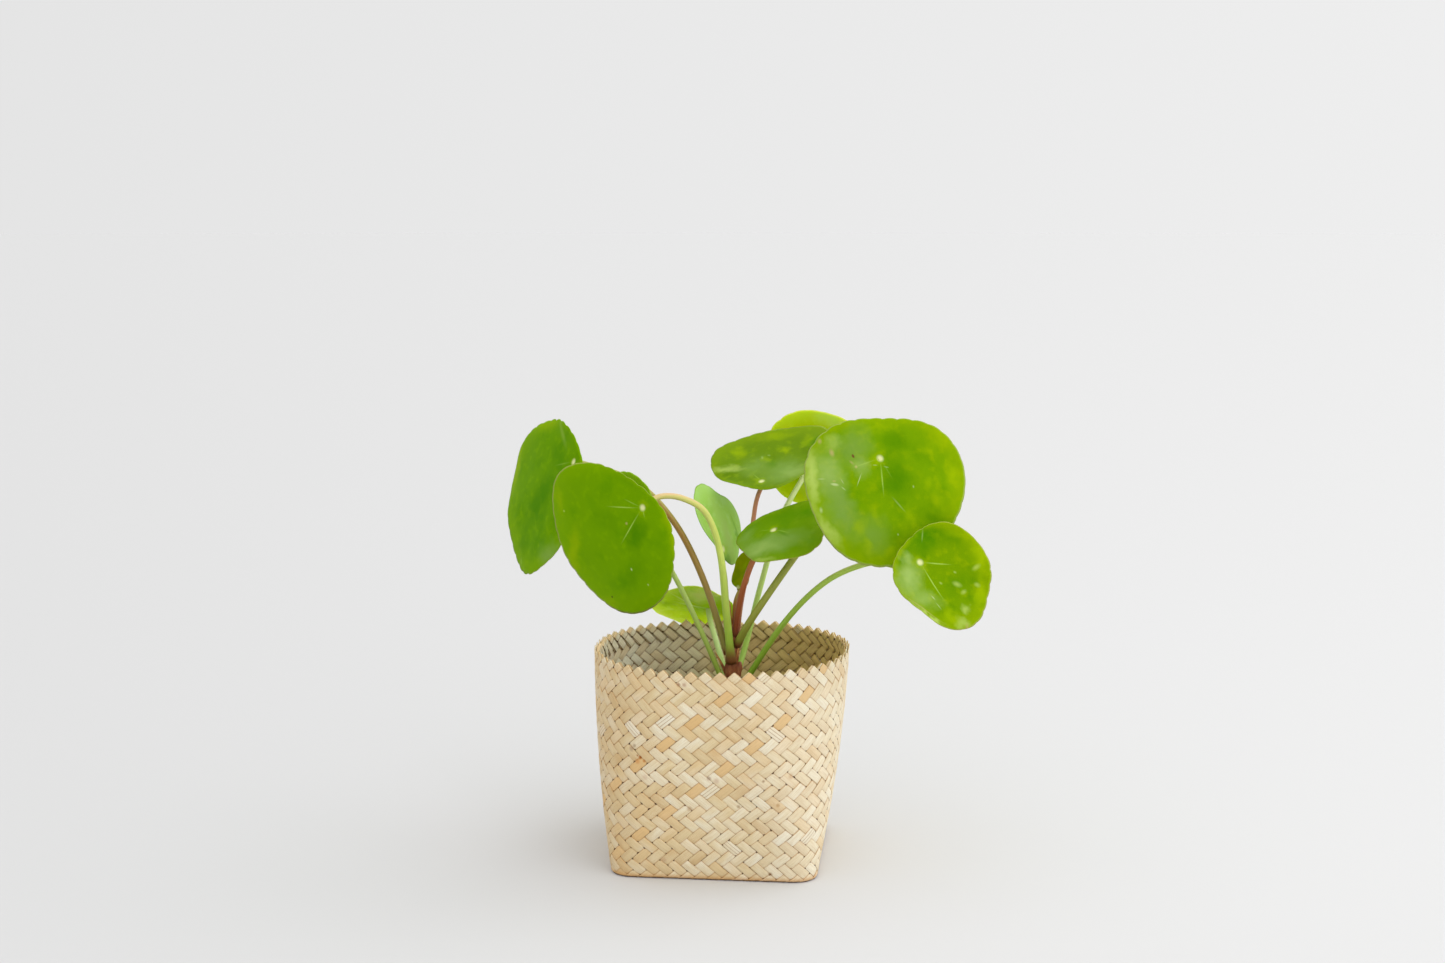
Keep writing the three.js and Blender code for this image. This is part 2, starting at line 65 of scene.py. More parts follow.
STRIP_HALF_WIDTH = 0.496    # half width of a strip, in crossings
STRIP_HALF_THICKNESS = 0.34
STRIP_SWING = 0.38          # how far a strip moves out as it passes over the others
INNER_SWING = 0.75          # how far it moves in as it passes under them
WALL_MIDDLE = 1.15          # depth of the weave's middle below the outermost face
STRIP_SIDES = 12
STRIP_EDGE_POWER = 0.2      # how square a strip's edges are, 1 is round
STRIP_FACE_POWER = 0.45     # how flat its faces are, 1 is round
NARROWEST_STRIP = 0.965     # share of the widest
BRICKS = 24                 # bricks of a strip with a lift, a tilt and a shift of their own
BRICK_LIFT = 0.05           # how far a brick stands in or out
BRICK_TILT = 0.07           # how far its sides stand in or out
BRICK_SHIFT = 0.02          # how far it is moved sideways, in crossings
STRIP_STATIONS = (-0.36, 0, 0.36)
STRIP_END = 0.485           # where a strip ends past its last crossing
STRIP_TURN_IN = -36.9       # where it ends under the basket
ARCH = 0.2                  # how flat the arch of an outer float is, 1 is round
INNER_ARCH = 0.6            # the same for an inner float, which is rounder
FLAP_FOOT = -2.4            # how far down a strip's folded end reaches, inside the rim
FLAP_DEPTH = 2.5            # depth of a folded end below the outermost face
FLAP_STATIONS = (FLAP_FOOT, -2.2, -1.8, -1.4, -1.0, -0.6, -0.2, 0.1, 0.3, 0.42, 0.5, 0.54)
FLAP_WIDTHS = (0.78, 0.9)   # the narrowest and the widest, as shares of a strip
FLAP_LIFT = 0.45            # how much deeper some of them lie
FLAP_FOLD = (0.3, 0.24)     # where the fold starts and how long it is, in crossings
FLAP_SEED = 500
FOOT_SINK = 0.3             # brings the turned-in strips down to the surface

MAT_HALF = 51               # half width of the woven base
MAT_PITCH = 5.04
MAT_MARGIN = 1.2            # how much shorter its strips end, in strips
MAT_MIDDLE = 1.05           # height of the woven base's middle

# How tan strands are, from 0, pale straw, to 1, tan. Two of the right-leaning ones, slant 1, are
# tan all along at the front.
TAN_STRANDS = {(1, 3): 0.95, (1, 9): 0.85}
PLAIN_TONE = 0.4            # most of a plain strand
MAT_TONE = 0.2
FLAP_TONES = (0.05, 0.75)   # down its length, and where it is bent

# ---------------------------------------------------------------- sizes of the pot and soil

POT_FOOT = 2.7
POT_FOOT_RADIUS = 36
POT_TOP_RADIUS = 49
POT_HEIGHT = 73
POT_WALL = 1.2
POT_FLOOR = 1.5
POT_LIP_RADIUS = 51.5
POT_LIP_HEIGHT = 6
DRAIN_RADIUS = 3.5
DRAIN_CIRCLE = 24
DRAINS = 4
POT_SIDES = 96

SOIL_TOP = 69
SOIL_CROWN = 2.5
SOIL_LUMP = 0.8
SOIL_GAP = 0.3              # between the soil and the pot
SOIL_SLOPE = 0.98           # its side's slope, as a share of the pot's
SOIL_SECTORS = 96
SOIL_TOP_RINGS = 30
SOIL_SIDE_RINGS = 5
SOIL_CRUMBS = 520
CRUMB_SEED = 11

# ---------------------------------------------------------------- sizes of the plant

TRUNK_ROUTE = [(4.5, 0.5, 46.5), (4.5, 0.5, 75), (4.5, 0.5, 98), (5.5, 0.7, 112), (6.3, 0.9, 123)]
TRUNK_RADIUS = 3.3
TRUNK_TOP_RADIUS = 1.9
TRUNK_TAPER_FROM = 0.8
TRUNK_RING_RISE = 0.18
TRUNK_RINGS = 9
TRUNK_LUMP_RISE = 0.25
TRUNK_GRID = (28, 150)      # sides, and rings along it
STUMP_GRID = (16, 24)
STUMP_ROUTE = [(6.5, 0.6, 88), (7.9, 1.0, 95), (9.3, 1.4, 103)]
STUMP_RADIUS = 1.8

# Papery stipules on the trunk: where each springs from it, where its point is, and its width.
STIPULES = [
    {"root": (4.6, 1.0, 116), "point": (3.6, 1.2, 137), "width": 3.4},
    {"root": (7.2, -1.2, 102), "point": (9.4, -2.2, 114.5), "width": 3.6},
    {"root": (7.4, 1.2, 115), "point": (10.6, 1.2, 133), "width": 3.0},
    {"root": (3.4, 1.2, 94), "point": (-4.2, 1.6, 108), "width": 3.6},
]
STIPULE_THICKNESS = 0.8
STIPULE_CURL = 0.55         # how far its sides stand out at the root
STIPULE_SIDES = 16
STIPULE_RINGS = 20

BLADE_HALF_THICKNESS = 0.4
NOTCH_SHARE = 0.025         # depth of the notches between the margin's low teeth
BLADE_SECTORS = 216
BLADE_RINGS = 25            # rings of points from navel to margin, on each face
RING_POWER = 1.15           # over 1 it draws them towards the navel and the margin
TEETH = 0.8                 # for each millimetre of the blade's mean half width
FEWEST_TEETH = 8
MARGIN_WAVES = 5
UNEVENNESS = 0.5            # height of the blade's slow bumps at the margin
NAVEL_DENT = 0.5
STALK_GAP = 0.3
STALK_GRID = (14, 64)       # sides, and rings along it
FOOT_SWELLS = {"front_left": 0.75}
PLAIN_FOOT_SWELL = 0.35
TOP_SWELL = 0.12

# The leaves. navel is where the stalk meets the blade. turn is how far the blade faces to the
# right of the front and tilt how far it faces up, in degrees. tip is the way from navel to leaf
# tip within the blade. The outline is an oval of half length and half width about a centre that
# lies offset from the navel, made egg-shaped or squarish by a share of its reach. cup is how far
# the margin stands above the middle, and ripple the height of the margin's slow waves.
LEAVES = [
    dict(name="far_left", navel=(-79.5, -0.5, 209.5), turn=-54, tilt=12, tip=-146, offset=37.8,
         length=43.7, width=42.1, egg=(0.04, 50), square=(0.025, -45), cup=-3, ripple=0.9,
         stalk=(1.8, 1.7),
         route=[(2.8, 0.8, 107), (-11, 4.5, 147), (-27.5, 9.5, 177), (-49, 10, 198)]),
    dict(name="front_left", navel=(-34.5, -54, 193.5), turn=-32, tilt=-14, tip=-143, offset=32,
         length=39.9, width=42.6, egg=(0.044, 45), square=(0.005, 19), cup=-4, ripple=0.8,
         stalk=(2.15, 1.45),
         route=[(5, -2, 103), (3, -7.5, 130), (1, -20, 165), (-5, -31.5, 187.5),
                (-16, -40, 196.5), (-27, -45.5, 198)]),
    dict(name="behind_front_left", navel=(-50.5, -20, 188), turn=-44, tilt=8, tip=-95, offset=6,
         length=26, width=25, egg=(0.03, 0), square=(0, 0), cup=-2, ripple=0.8, stalk=(1.45, 1.35),
         route=[(2.5, -1, 87), (-9.5, -3.5, 116.5), (-24, -4.5, 147.5), (-39, -8.5, 173.5)]),
    dict(name="low_back", navel=(-14.5, 63, 119), turn=174, tilt=52, tip=-12, offset=9, length=25,
         width=25, egg=(0.04, 0), square=(0, 0), cup=1.5, ripple=0.6, stalk=(1.6, 1.5),
         route=[(2.5, 2, 92), (-3.5, 18, 103.5), (-8.5, 36.5, 109.5), (-12.5, 52.5, 113.5)]),
    dict(name="small_middle", navel=(-0.5, 8, 162.5), turn=72, tilt=22, tip=58, offset=16.8,
         length=20.6, width=24.1, egg=(0.115, -47), square=(0.066, 35), cup=-2, ripple=0,
         stalk=(1.3, 1.2), route=[(4.5, 2.6, 114), (2, 5, 132.5), (0.5, 6.5, 148.5)]),
    dict(name="youngest", navel=(7.5, 6, 141.5), turn=-44, tilt=12, tip=88, offset=9.6,
         length=10.3, width=6.8, egg=(0.1, -9), square=(0.09, -38), cup=1, ripple=0,
         stalk=(1.2, 1), route=[(6, 2, 121), (6.5, 3.5, 134.5)]),
    dict(name="middle", navel=(28.5, -15, 177), turn=-32, tilt=58, tip=24, offset=4.1, length=24.3,
         width=24.5, egg=(0.103, -57), square=(0.082, -25), cup=-3, ripple=0.6, stalk=(1.65, 1.5),
         route=[(6.5, -0.5, 117.5), (9, -3, 133), (12.5, -6.5, 147), (18.5, -9, 162)]),
    dict(name="upper_middle", navel=(19.5, 14, 198.5), turn=-26, tilt=62, tip=105, offset=22.7,
         length=30.4, width=33.1, egg=(0.088, -42), square=(0.033, 43), cup=2, ripple=0.8,
         stalk=(1.35, 1.2),
         route=[(7.2, 3.4, 113), (9, 7, 132), (12.5, 11.5, 153.5), (16, 15.5, 185)]),
    dict(name="top_back", navel=(37, 76.5, 193), turn=186, tilt=14, tip=115, offset=14,
         length=28.5, width=28.5, egg=(0.04, 48), square=(0, 0), cup=-2, ripple=0.8,
         stalk=(1.6, 1.5),
         route=[(6.5, 2, 92), (10.5, 19.5, 108), (17.5, 34, 139), (26.5, 50.5, 172)]),
    dict(name="big_right", navel=(84, -37, 218), turn=9, tilt=22, tip=-82, offset=15.1,
         length=39.5, width=41.2, egg=(0.049, -11), square=(0.014, 40), cup=-3, ripple=1.2,
         stalk=(2, 1.8),
         route=[(7.5, -0.5, 112), (17.5, -8, 130), (41, -5, 164.5), (67, -11, 199.5)]),
    dict(name="far_right", navel=(105, -67, 170.5), turn=30, tilt=26, tip=-35, offset=13.6,
         length=26.7, width=26.9, egg=(0.057, -35), square=(0.029, 37), cup=3, ripple=0.6,
         stalk=(1.65, 1.45),
         route=[(7, -0.5, 84), (33, -11, 126), (55.5, -22, 151), (77, -35, 163.5),
                (89.5, -43.5, 165), (98, -54.5, 163.5)]),
]

# How each blade is coloured: its green, its deeper patches, its yellower patches and its margin.
# Colours are screen values from 0 to 255.
# The greens of low_back and top_back are brightened with painted light shining through them, and
# small_middle's green is paled and greyed with painted sheen.
LEAF_COLOURS = {
    "far_left": ((100, 149, 0), (78, 134, 0), (130, 170, 0), (156, 180, 60)),
    "front_left": ((109, 156, 0), (93, 146, 0), (128, 170, 0), (184, 178, 104)),
    "behind_front_left": ((124, 168, 6), (106, 154, 4), (142, 180, 24), (172, 194, 84)),
    "low_back": ((190, 220, 6), (164, 202, 4), (214, 234, 100), (214, 230, 130)),
    "small_middle": ((152, 195, 84), (132, 180, 58), (168, 206, 118), (126, 170, 46)),
    "youngest": ((140, 152, 2), (124, 140, 2), (154, 162, 8), (156, 162, 24)),
    "middle": ((103, 145, 0), (85, 136, 0), (123, 156, 24), (194, 184, 96)),
    "upper_middle": ((102, 136, 16), (88, 122, 8), (134, 162, 16), (164, 184, 74)),
    "top_back": ((184, 198, 2), (170, 190, 0), (198, 212, 50), (206, 218, 110)),
    "big_right": ((114, 156, 2), (90, 141, 0), (146, 172, 0), (184, 194, 110)),
    "far_right": ((110, 148, 0), (78, 130, 0), (149, 173, 0), (190, 186, 96)),
}
# The two greyish sheen tints below mostly draw painted sheen, the bright air reflected from the
# waxy blades; the paler one also draws a few thin pale streaks and a pale ring mark. The brightest
# tint is painted light shining through a blade.
MARK_TINTS = {
    "yellow": (156, 182, 2), "deep": (68, 127, 0), "painted_sheen_and_pale_marks": (158, 186, 98), "grey_painted_sheen": (126, 160, 72),
    "painted_backlight": (238, 250, 160), "pale": (186, 208, 104), "vein": (172, 206, 88),
    "cream": (224, 228, 164), "rust": (112, 62, 40), "tan": (192, 174, 112),
    "white": (204, 220, 156), "black": (44, 44, 22),
}
LARGE_MARK = 2.5            # half width past which a mark's edge strays, in millimetres
VEIN_HALF_WIDTH = 0.55

BACKLIT_LEAVES = ("low_back", "top_back")   # the blades that light shines through
TOP_GREEN = (102, 150, 0)                   # their upper faces
UNDERSIDE = (162, 190, 112)                 # what the other blades' undersides pale to

# Marks on each blade, in the order in which they lie over each other. After a tint come its
# marks: where each lies along the tip's way and aside from it, its half length and half width,
# its turn from the tip's way in degrees and its strength, and its softness where that isn't 1.
LEAF_MARKS = {
    "far_left": [
        ("yellow", (62, -36, 34, 9, 55, 0.5), (24, -36, 18, 7, -20, 0.35)),
        ("deep", (34, 4, 34, 13, 20, 0.75), (12, -10, 20, 10, -60, 0.45),
         (62, 18, 14, 10, 40, 0.5)),
        ("grey_painted_sheen", (36, 38, 16, 11, -25, 0.7)),
        ("pale", (8, -22, 16, 2.5, -75, 0.2), (70, 26, 4, 1, 60, 0.4)),
    ],
    "front_left": [
        ("deep", (14, 8, 16, 9, 30, 0.75), (34, 22, 20, 8, 10, 0.4), (24, -8, 18, 9, -30, 0.3)),
        ("yellow", (-4, 22, 24, 6, 65, 0.55), (60, -8, 28, 6, 30, 0.5), (48, -34, 10, 6, 60, 0.4),
         (64, 24, 12, 5, -30, 0.3)),
        ("black", (57.9, 23, 1.1, 0.7, 20, 0.85, 0.6)),
        ("tan", (14.2, 0.5, 1.3, 1.1, 0, 0.7)),
        ("pale", (48.8, -27.6, 1.0, 0.9, 0, 0.8)),
        ("white", (31.4, 19.6, 1.3, 0.8, 60, 0.8), (30, 31, 1.0, 0.7, 60, 0.5)),
    ],
    "behind_front_left": [
        ("deep", (-14, -6, 10, 4, 80, 0.4)),
    ],
    "low_back": [
        # painted light shining through the blade, on its right half and along two veins
        ("painted_backlight", (-2, 15, 16, 12, 0, 0.8), (6, 4, 15, 1.4, 30, 0.6), (10, 10, 16, 1.2, 62, 0.6)),
        ("deep", (24, 8, 9, 4, 20, 0.3)),
        ("black", (0.4, -0.7, 1.2, 1, 0, 0.8, 0.7)),
    ],
    "small_middle": [
        ("painted_sheen_and_pale_marks", (8, -4, 20, 9, 30, 0.7)),
        ("deep", (12, -17, 24, 3, 30, 0.5), (-6, -3, 6, 8, 20, 0.45)),
        ("painted_sheen_and_pale_marks", (22, 8, 12, 9, 30, 0.35)),
    ],
    "youngest": [
        ("deep", (4, 3, 8, 4, 0, 0.4)),
        ("yellow", (14, -2, 6, 4, 0, 0.5)),
    ],
    "middle": [
        ("grey_painted_sheen", (0, -11, 27, 11, 8, 0.8, 0.8)),
        ("painted_sheen_and_pale_marks", (-6, -13, 14, 8, 0, 0.55)),
        ("deep", (8, 12, 22, 9, 10, 0.45)),
        ("grey_painted_sheen", (-16, 0, 8, 12, 0, 0.6)),
        ("pale", (-6, -22, 14, 3, -10, 0.4)),
        ("deep", (6, -5, 7, 1.6, -40, 0.45)),
    ],
    "upper_middle": [
        ("grey_painted_sheen", (8, -10, 20, 18, 30, 0.8), (16, 8, 16, 12, 0, 0.6)),
        ("painted_sheen_and_pale_marks", (6, -18, 12, 12, 0, 0.45)),
        ("pale", (14, 24, 16, 5, 100, 0.6)),
        ("yellow", (30, 20, 8, 7, 20, 0.55), (44, 2, 6, 16, 0, 0.4), (30, -6, 7, 4, 40, 0.6),
         (36, -18, 8, 5, 0, 0.6), (22, 2, 6, 4, 60, 0.4)),
        ("deep", (34, -24, 10, 7, 70, 0.6), (18, -2, 9, 5, 10, 0.35)),
        ("painted_sheen_and_pale_marks", (24.3, 5.5, 2.4, 1, 20, 0.6), (26, 2, 1.6, 1, 60, 0.5)),
    ],
    "top_back": [
        ("pale", (38, 0, 8, 20, 0, 0.45), (-2, 6, 10, 8, 0, 0.3)),
        ("deep", (8, 10, 14, 7, 20, 0.12)),
    ],
    "big_right": [
        ("painted_sheen_and_pale_marks", (4, -27, 19, 11, 10, 0.7)),
        ("grey_painted_sheen", (22, -24, 24, 11, 15, 0.75), (-8, -12, 16, 13, -30, 0.6),
         (38, -10, 14, 12, 20, 0.45)),
        ("pale", (4, -36, 24, 4.5, -6, 0.75), (32, -32, 18, 4, 25, 0.55)),
        ("deep", (12, 6, 17, 13, 0, 0.75), (-6, 10, 12, 10, 0, 0.35), (34, 24, 12, 6, 60, 0.35),
         (46, 2, 12, 5, 0, 0.35)),
        ("yellow", (-8, 32, 12, 9, 30, 0.55), (14, 35, 12, 6, 0, 0.7), (26, 24, 7, 6, 20, 0.5),
         (16, 22, 5, 4, 0, 0.4), (32, 10, 7, 5, 40, 0.5), (40, 12, 5, 5, 0, 0.4),
         (34, -16, 7, 5, 0, 0.5), (44, -14, 7, 4, 30, 0.45), (28, -8, 6, 4, 0, 0.4),
         (48, -4, 4, 5, 0, 0.4), (-16, 0, 3, 16, 0, 0.35), (0, 26, 5, 5, 0, 0.35)),
        ("pale", (-12, -22, 7, 6, 0, 0.4)),
        ("rust", (-3.2, -13.3, 1.5, 0.8, 15, 0.9, 0.6)),
        ("tan", (-6.8, -23.5, 3.0, 1.8, 10, 0.75), (-13.9, -28.4, 2.2, 1.6, 0, 0.6),
         (2.6, -12.8, 1.2, 1.0, 0, 0.9, 0.8), (0, -14.6, 2.2, 0.9, 40, 0.5)),
        ("painted_sheen_and_pale_marks", (3, -10, 9, 6, -10, 0.55)),
        ("white", (9.4, -12.4, 4.6, 0.35, -28, 0.6, 0.8), (10, -25, 2.8, 1.0, 70, 0.65, 0.8),
         (12.8, -21, 2.0, 0.5, 40, 0.5), (6, -31, 2.8, 0.4, 80, 0.45),
         (9, -21, 2.2, 0.4, 20, 0.4)),
        ("tan", (8.2, -25, 1.4, 0.6, 80, 0.7)),
        ("white", (3.2, -3.2, 1.6, 0.4, 80, 0.5)),
        ("painted_sheen_and_pale_marks", (25, 5, 6.5, 0.7, 32, 0.5)),
        ("white", (5, 2.2, 1.8, 0.4, 70, 0.4), (17, 14, 1.0, 0.6, 0, 0.5),
         (22, -34, 2.2, 1.2, 0, 0.5), (40, 2, 0.9, 0.6, 0, 0.5)),
        ("tan", (50, 3, 2.6, 1.6, 10, 0.35)),
    ],
    "far_right": [
        ("deep", (-3, 12, 14, 11, 55, 0.8), (10, 20, 10, 6, 20, 0.45), (22, 0, 11, 8, 60, 0.45)),
        ("painted_sheen_and_pale_marks", (-3, -11, 13, 10, 70, 0.85), (8, -17, 14, 8, 20, 0.55), (-8, -3, 6, 5, 0, 0.6)),
        ("yellow", (27, 20, 16, 6, -62, 0.7), (34, 2, 12, 4, -80, 0.6), (14, 24, 12, 4, 20, 0.35)),
        ("pale", (27.5, 13, 3.6, 1.8, 60, 0.45), (22, 0, 3.6, 2.0, 10, 0.6),
         (26.5, -2, 2.6, 1.6, 60, 0.5), (30, -10, 4, 3.4, 0, 0.6), (31.5, 5, 2.4, 1.8, 0, 0.5),
         (31, -18, 6, 4, 20, 0.5)),
        ("yellow", (25, -18, 7, 6, 0, 0.6)),
        ("pale", (14, -4, 1.4, 0.9, 0, 0.5), (18.6, 5.2, 1.3, 0.9, 0, 0.5),
         (12, -24.5, 18, 2.6, -4, 0.85)),
        ("tan", (10, -22.2, 15, 0.5, -4, 0.5)),
        ("white", (13, -13.4, 2.0, 0.5, -20, 0.6), (17, -16, 3.0, 0.4, -25, 0.4)),
        ("painted_sheen_and_pale_marks", (-4.5, 13, 4.5, 0.6, 110, 0.5)),
        ("tan", (34, -20, 4, 1.4, -70, 0.5)),
    ],
}

# The veins that show on each blade: their turn from the tip's way, length and strength.
LEAF_VEINS = {
    "far_left": [(-20, 20, 0.3)],
    "front_left": [(-35, 25, 0.75), (14, 29, 0.8), (-58, 13, 0.4), (62, 6, 0.5)],
    "behind_front_left": [],
    "low_back": [(0, 24, 0.5), (30, 26, 0.6), (60, 22, 0.6)],
    "small_middle": [(36, 18, 0.25)],
    "youngest": [],
    "middle": [(-28, 12, 0.35), (170, 10, 0.2)],
    "upper_middle": [(40, 12, 0.35)],
    "top_back": [(20, 20, 0.2)],
    "big_right": [(-5, 22, 0.7), (-79, 17, 0.4), (20, 14, 0.15)],
    "far_right": [(27, 19, 0.75), (-32, 24, 0.85)],
}

# Each stalk's colour at its foot, half way and at the blade, and on its upper side, where the
# colour is partly the stalk's own flush and partly painted light from above.
STALK_COLOURS = {
    "far_left": ((150, 140, 70), (182, 128, 70), (150, 158, 62), (176, 172, 84)),
    "front_left": ((164, 202, 70), (222, 238, 118), (214, 192, 122), (222, 184, 138)),
    "behind_front_left": ((150, 180, 66), (182, 204, 108), (188, 206, 120), (198, 212, 132)),
    "low_back": ((176, 210, 110), (196, 222, 140), (205, 226, 150), (212, 228, 160)),
    "small_middle": ((160, 130, 70), (170, 170, 80), (180, 204, 110), (190, 212, 126)),
    "youngest": ((160, 96, 52), (168, 116, 60), (150, 140, 46), (170, 150, 66)),
    "middle": ((138, 68, 40), (184, 106, 62), (188, 130, 84), (194, 124, 84)),
    "upper_middle": ((168, 104, 74), (190, 124, 94), (200, 140, 106), (210, 152, 122)),
    "top_back": ((164, 204, 80), (190, 216, 116), (214, 226, 156), (220, 228, 166)),
    "big_right": ((152, 158, 64), (166, 170, 72), (182, 190, 90), (190, 186, 104)),
    "far_right": ((128, 172, 38), (172, 204, 84), (186, 206, 96), (202, 204, 118)),
}
COLLAR = (120, 62, 36)      # the brown of a stalk's foot, where it leaves the trunk
COLLAR_LENGTHS = {"front_left": 14, "big_right": 7}
PLAIN_COLLAR_LENGTH = 5

# ---------------------------------------------------------------- camera

CAMERA_REACH = 1050         # from the object's axis
CAMERA_TURN = 6.3           # degrees to the right of the front
CAMERA_HEIGHT = 342
CAMERA_PITCH = 7.7          # degrees below the horizon
CAMERA_LENS = 50


def make_camera():
    data = bpy.data.cameras.new("camera")
    data.lens = CAMERA_LENS
    data.clip_start = 0.01
    data.clip_end = 50
    camera = placed("camera", data)
    turn = math.radians(CAMERA_TURN)
    camera.location = Vector((math.sin(turn) * CAMERA_REACH, -math.cos(turn) * CAMERA_REACH,
                              CAMERA_HEIGHT)) * MM
    camera.rotation_euler = (math.radians(90 - CAMERA_PITCH), 0, turn)
    bpy.context.scene.camera = camera


# ---------------------------------------------------------------- helpers for meshes

CURVE_STEPS = 24            # fine steps between two points of a route


def ball_points(bm, sides, rings):
    """Adds a closed ball and gives its points one by one with their turn round the poles and
    their step, which counts the rings from one pole, 0, to the other."""
    ball = bmesh.ops.create_uvsphere(bm, u_segments=sides, v_segments=rings, radius=1)
    for vert in ball["verts"]:
        step = round(math.acos(max(-1, min(1, vert.co.z))) / math.pi * rings)
        yield vert, math.atan2(vert.co.y, vert.co.x), step


def clamped(value):
    return min(max(value, 0), 1)


def rounded_power(value, power):
    """A power that keeps its base's sign."""
    return math.copysign(abs(value) ** power, value)


def mesh_of(bm, name, material=None):
    mesh = bpy.data.meshes.new(name)
    bm.to_mesh(mesh)
    bm.free()
    if material:
        mesh.materials.append(material)
    return mesh


def placed(name, data):
    """Puts a new object with the data into the scene."""
    made = bpy.data.objects.new(name, data)
    bpy.context.scene.collection.objects.link(made)
    return made


def finished(bm, name, node, material):
    """Turns a bmesh in millimetres into a piece that stands for a node."""
    bmesh.ops.scale(bm, vec=(MM, MM, MM), verts=bm.verts)
    bmesh.ops.recalc_face_normals(bm, faces=bm.faces)
    for face in bm.faces:
        face.smooth = True
    piece = placed(name, mesh_of(bm, name, material))
    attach(piece, BODY)
    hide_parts(node)
    return piece


def curve_stations(route, count):
    """Evenly spaced places along a smooth curve through a route's points, each with its
    direction."""
    knots = [Vector(point) for point in route]
    knots = [2 * knots[0] - knots[1], *knots, 2 * knots[-1] - knots[-2]]
    fine = []
    spans = len(knots) - 3
    for span in range(spans):
        before, start, end, after = knots[span:span + 4]
        leave = (end - before) / 2
        arrive = (after - start) / 2
        for share in (index / CURVE_STEPS for index in range(CURVE_STEPS)):
            cubed = share ** 3
            squared = share ** 2
            near = start * (2 * cubed - 3 * squared + 1) + leave * (cubed - 2 * squared + share)
            far = end * (3 * squared - 2 * cubed) + arrive * (cubed - squared)
            fine.append(near + far)
    fine.append(knots[-2])
    reached = [0]
    for first, second in zip(fine, fine[1:]):
        reached.append(reached[-1] + (second - first).length)
    stations = []
    piece = 0
    for index in range(count):
        distance = reached[-1] * index / (count - 1)
        while piece < len(fine) - 2 and reached[piece + 1] < distance:
            piece += 1
        share = (distance - reached[piece]) / (reached[piece + 1] - reached[piece])
        direction = (fine[piece + 1] - fine[piece]).normalized()
        stations.append((fine[piece].lerp(fine[piece + 1], share), direction, distance))
    return stations


def add_rod(bm, route, sides, count, radius_at, layer):
    """Adds a round rod with rounded ends. radius_at gives its radius for a share of the way and
    a turn, and the layer takes the share, the way in millimetres and the turn."""
    stations = curve_stations(route, count)
    length = stations[-1][2]
    side = stations[0][1].orthogonal().normalized()
    sides_at = []
    for _, direction, _ in stations:
        side = (side - direction * side.dot(direction)).normalized()
        sides_at.append((side, direction.cross(side)))
    for vert, turn, step in ball_points(bm, sides, count + 1):
        index = min(max(step - 1, 0), count - 1)
        place, direction, distance = stations[index]
        share = distance / length
        pole = step in (0, count + 1)
        radius = 0 if pole else radius_at(share, turn)
        first, second = sides_at[index]
        vert.co = place + (first * math.cos(turn) + second * math.sin(turn)) * radius
        vert[layer] = (share, distance, turn)


# ---------------------------------------------------------------- helpers for materials

def colour(red, green, blue):
    """A screen colour from 0 to 255, as Blender's linear colour."""
    def linear(value):
        share = value / 255
        return share / 12.92 if share <= 0.04045 else ((share + 0.055) / 1.055) ** 2.4
    return (linear(red), linear(green), linear(blue), 1)


def add_node(tree, kind, sockets=None, **settings):
    """Adds a shader node. sockets maps an input's name or number to a value or to a wire."""
    made = tree.nodes.new("ShaderNode" + kind)
    for name, value in settings.items():
        setattr(made, name, value)
    for name, value in (sockets or {}).items():
        if isinstance(value, Wire):
            value.to(made.inputs[name])
        else:
            made.inputs[name].default_value = value
    return made


class Wire:
    """A shader node's output. Arithmetic and the ways below add the nodes that read it. Where
    they take a colour, it is a screen colour or a wire."""

    def __init__(self, socket):
        self.socket = socket
        self.tree = socket.id_data

    def to(self, entry):
        self.tree.links.new(self.socket, entry)

    def through(self, kind, sockets, output=0, **settings):
        return Wire(add_node(self.tree, kind, sockets, **settings).outputs[output])

    def maths(self, operation, *others, clamp=False):
        sockets = dict(enumerate((self, *others)))
        return self.through("Math", sockets, operation=operation, use_clamp=clamp)

    def __add__(self, other):
        return self.maths("ADD", other)

    def __sub__(self, other):
        return self.maths("SUBTRACT", other)

    def __rsub__(self, other):
        return self.through("Math", {0: other, 1: self}, operation="SUBTRACT")

    def __mul__(self, other):
        return self.maths("MULTIPLY", other)

    def __truediv__(self, other):
        return self.maths("DIVIDE", other)

    def __abs__(self):
        return self.maths("ABSOLUTE")

    def vector(self, operation, other=(0, 0, 0), output="Vector"):
        return self.through("VectorMath", {0: self, 1: other}, output, operation=operation)

    def stretched(self, *scale):
        return self.vector("MULTIPLY", scale)

    def split(self, kind="SeparateXYZ"):
        """Its three parts."""
        return [Wire(part) for part in add_node(self.tree, kind, {0: self}).outputs]

    def noise(self, scale, detail=2.0, rough=0.5):
        return self.through("TexNoise", {"Vector": self, "Scale": scale, "Detail": detail,
                                         "Roughness": rough}, "Fac")

    def eased(self, low, high, to_low=0.0, to_high=1.0):
        """Runs smoothly from to_low to to_high as this runs from low to high."""
        return self.through("MapRange", {0: self, 1: low, 2: high, 3: to_low, 4: to_high},
                            interpolation_type="SMOOTHSTEP")

    def blend(self, under, over):
        """A colour that is under where this is 0 and over where it is 1."""
        under, over = (shade if isinstance(shade, Wire) else colour(*shade)
                       for shade in (under, over))
        return self.through("Mix", {0: self, 6: under, 7: over}, 2, data_type="RGBA")

    def ramp(self, *stops):
        """A colour that runs through stops, each a position from 0 to 1 and a colour."""
        made = add_node(self.tree, "ValToRGB", {0: self})
        elements = made.color_ramp.elements
        for element, (position, shade) in zip(elements, (stops[0], stops[-1])):
            element.position = position
            element.color = colour(*shade)
        for position, shade in stops[1:-1]:
            elements.new(position).color = colour(*shade)
        return Wire(made.outputs[0])


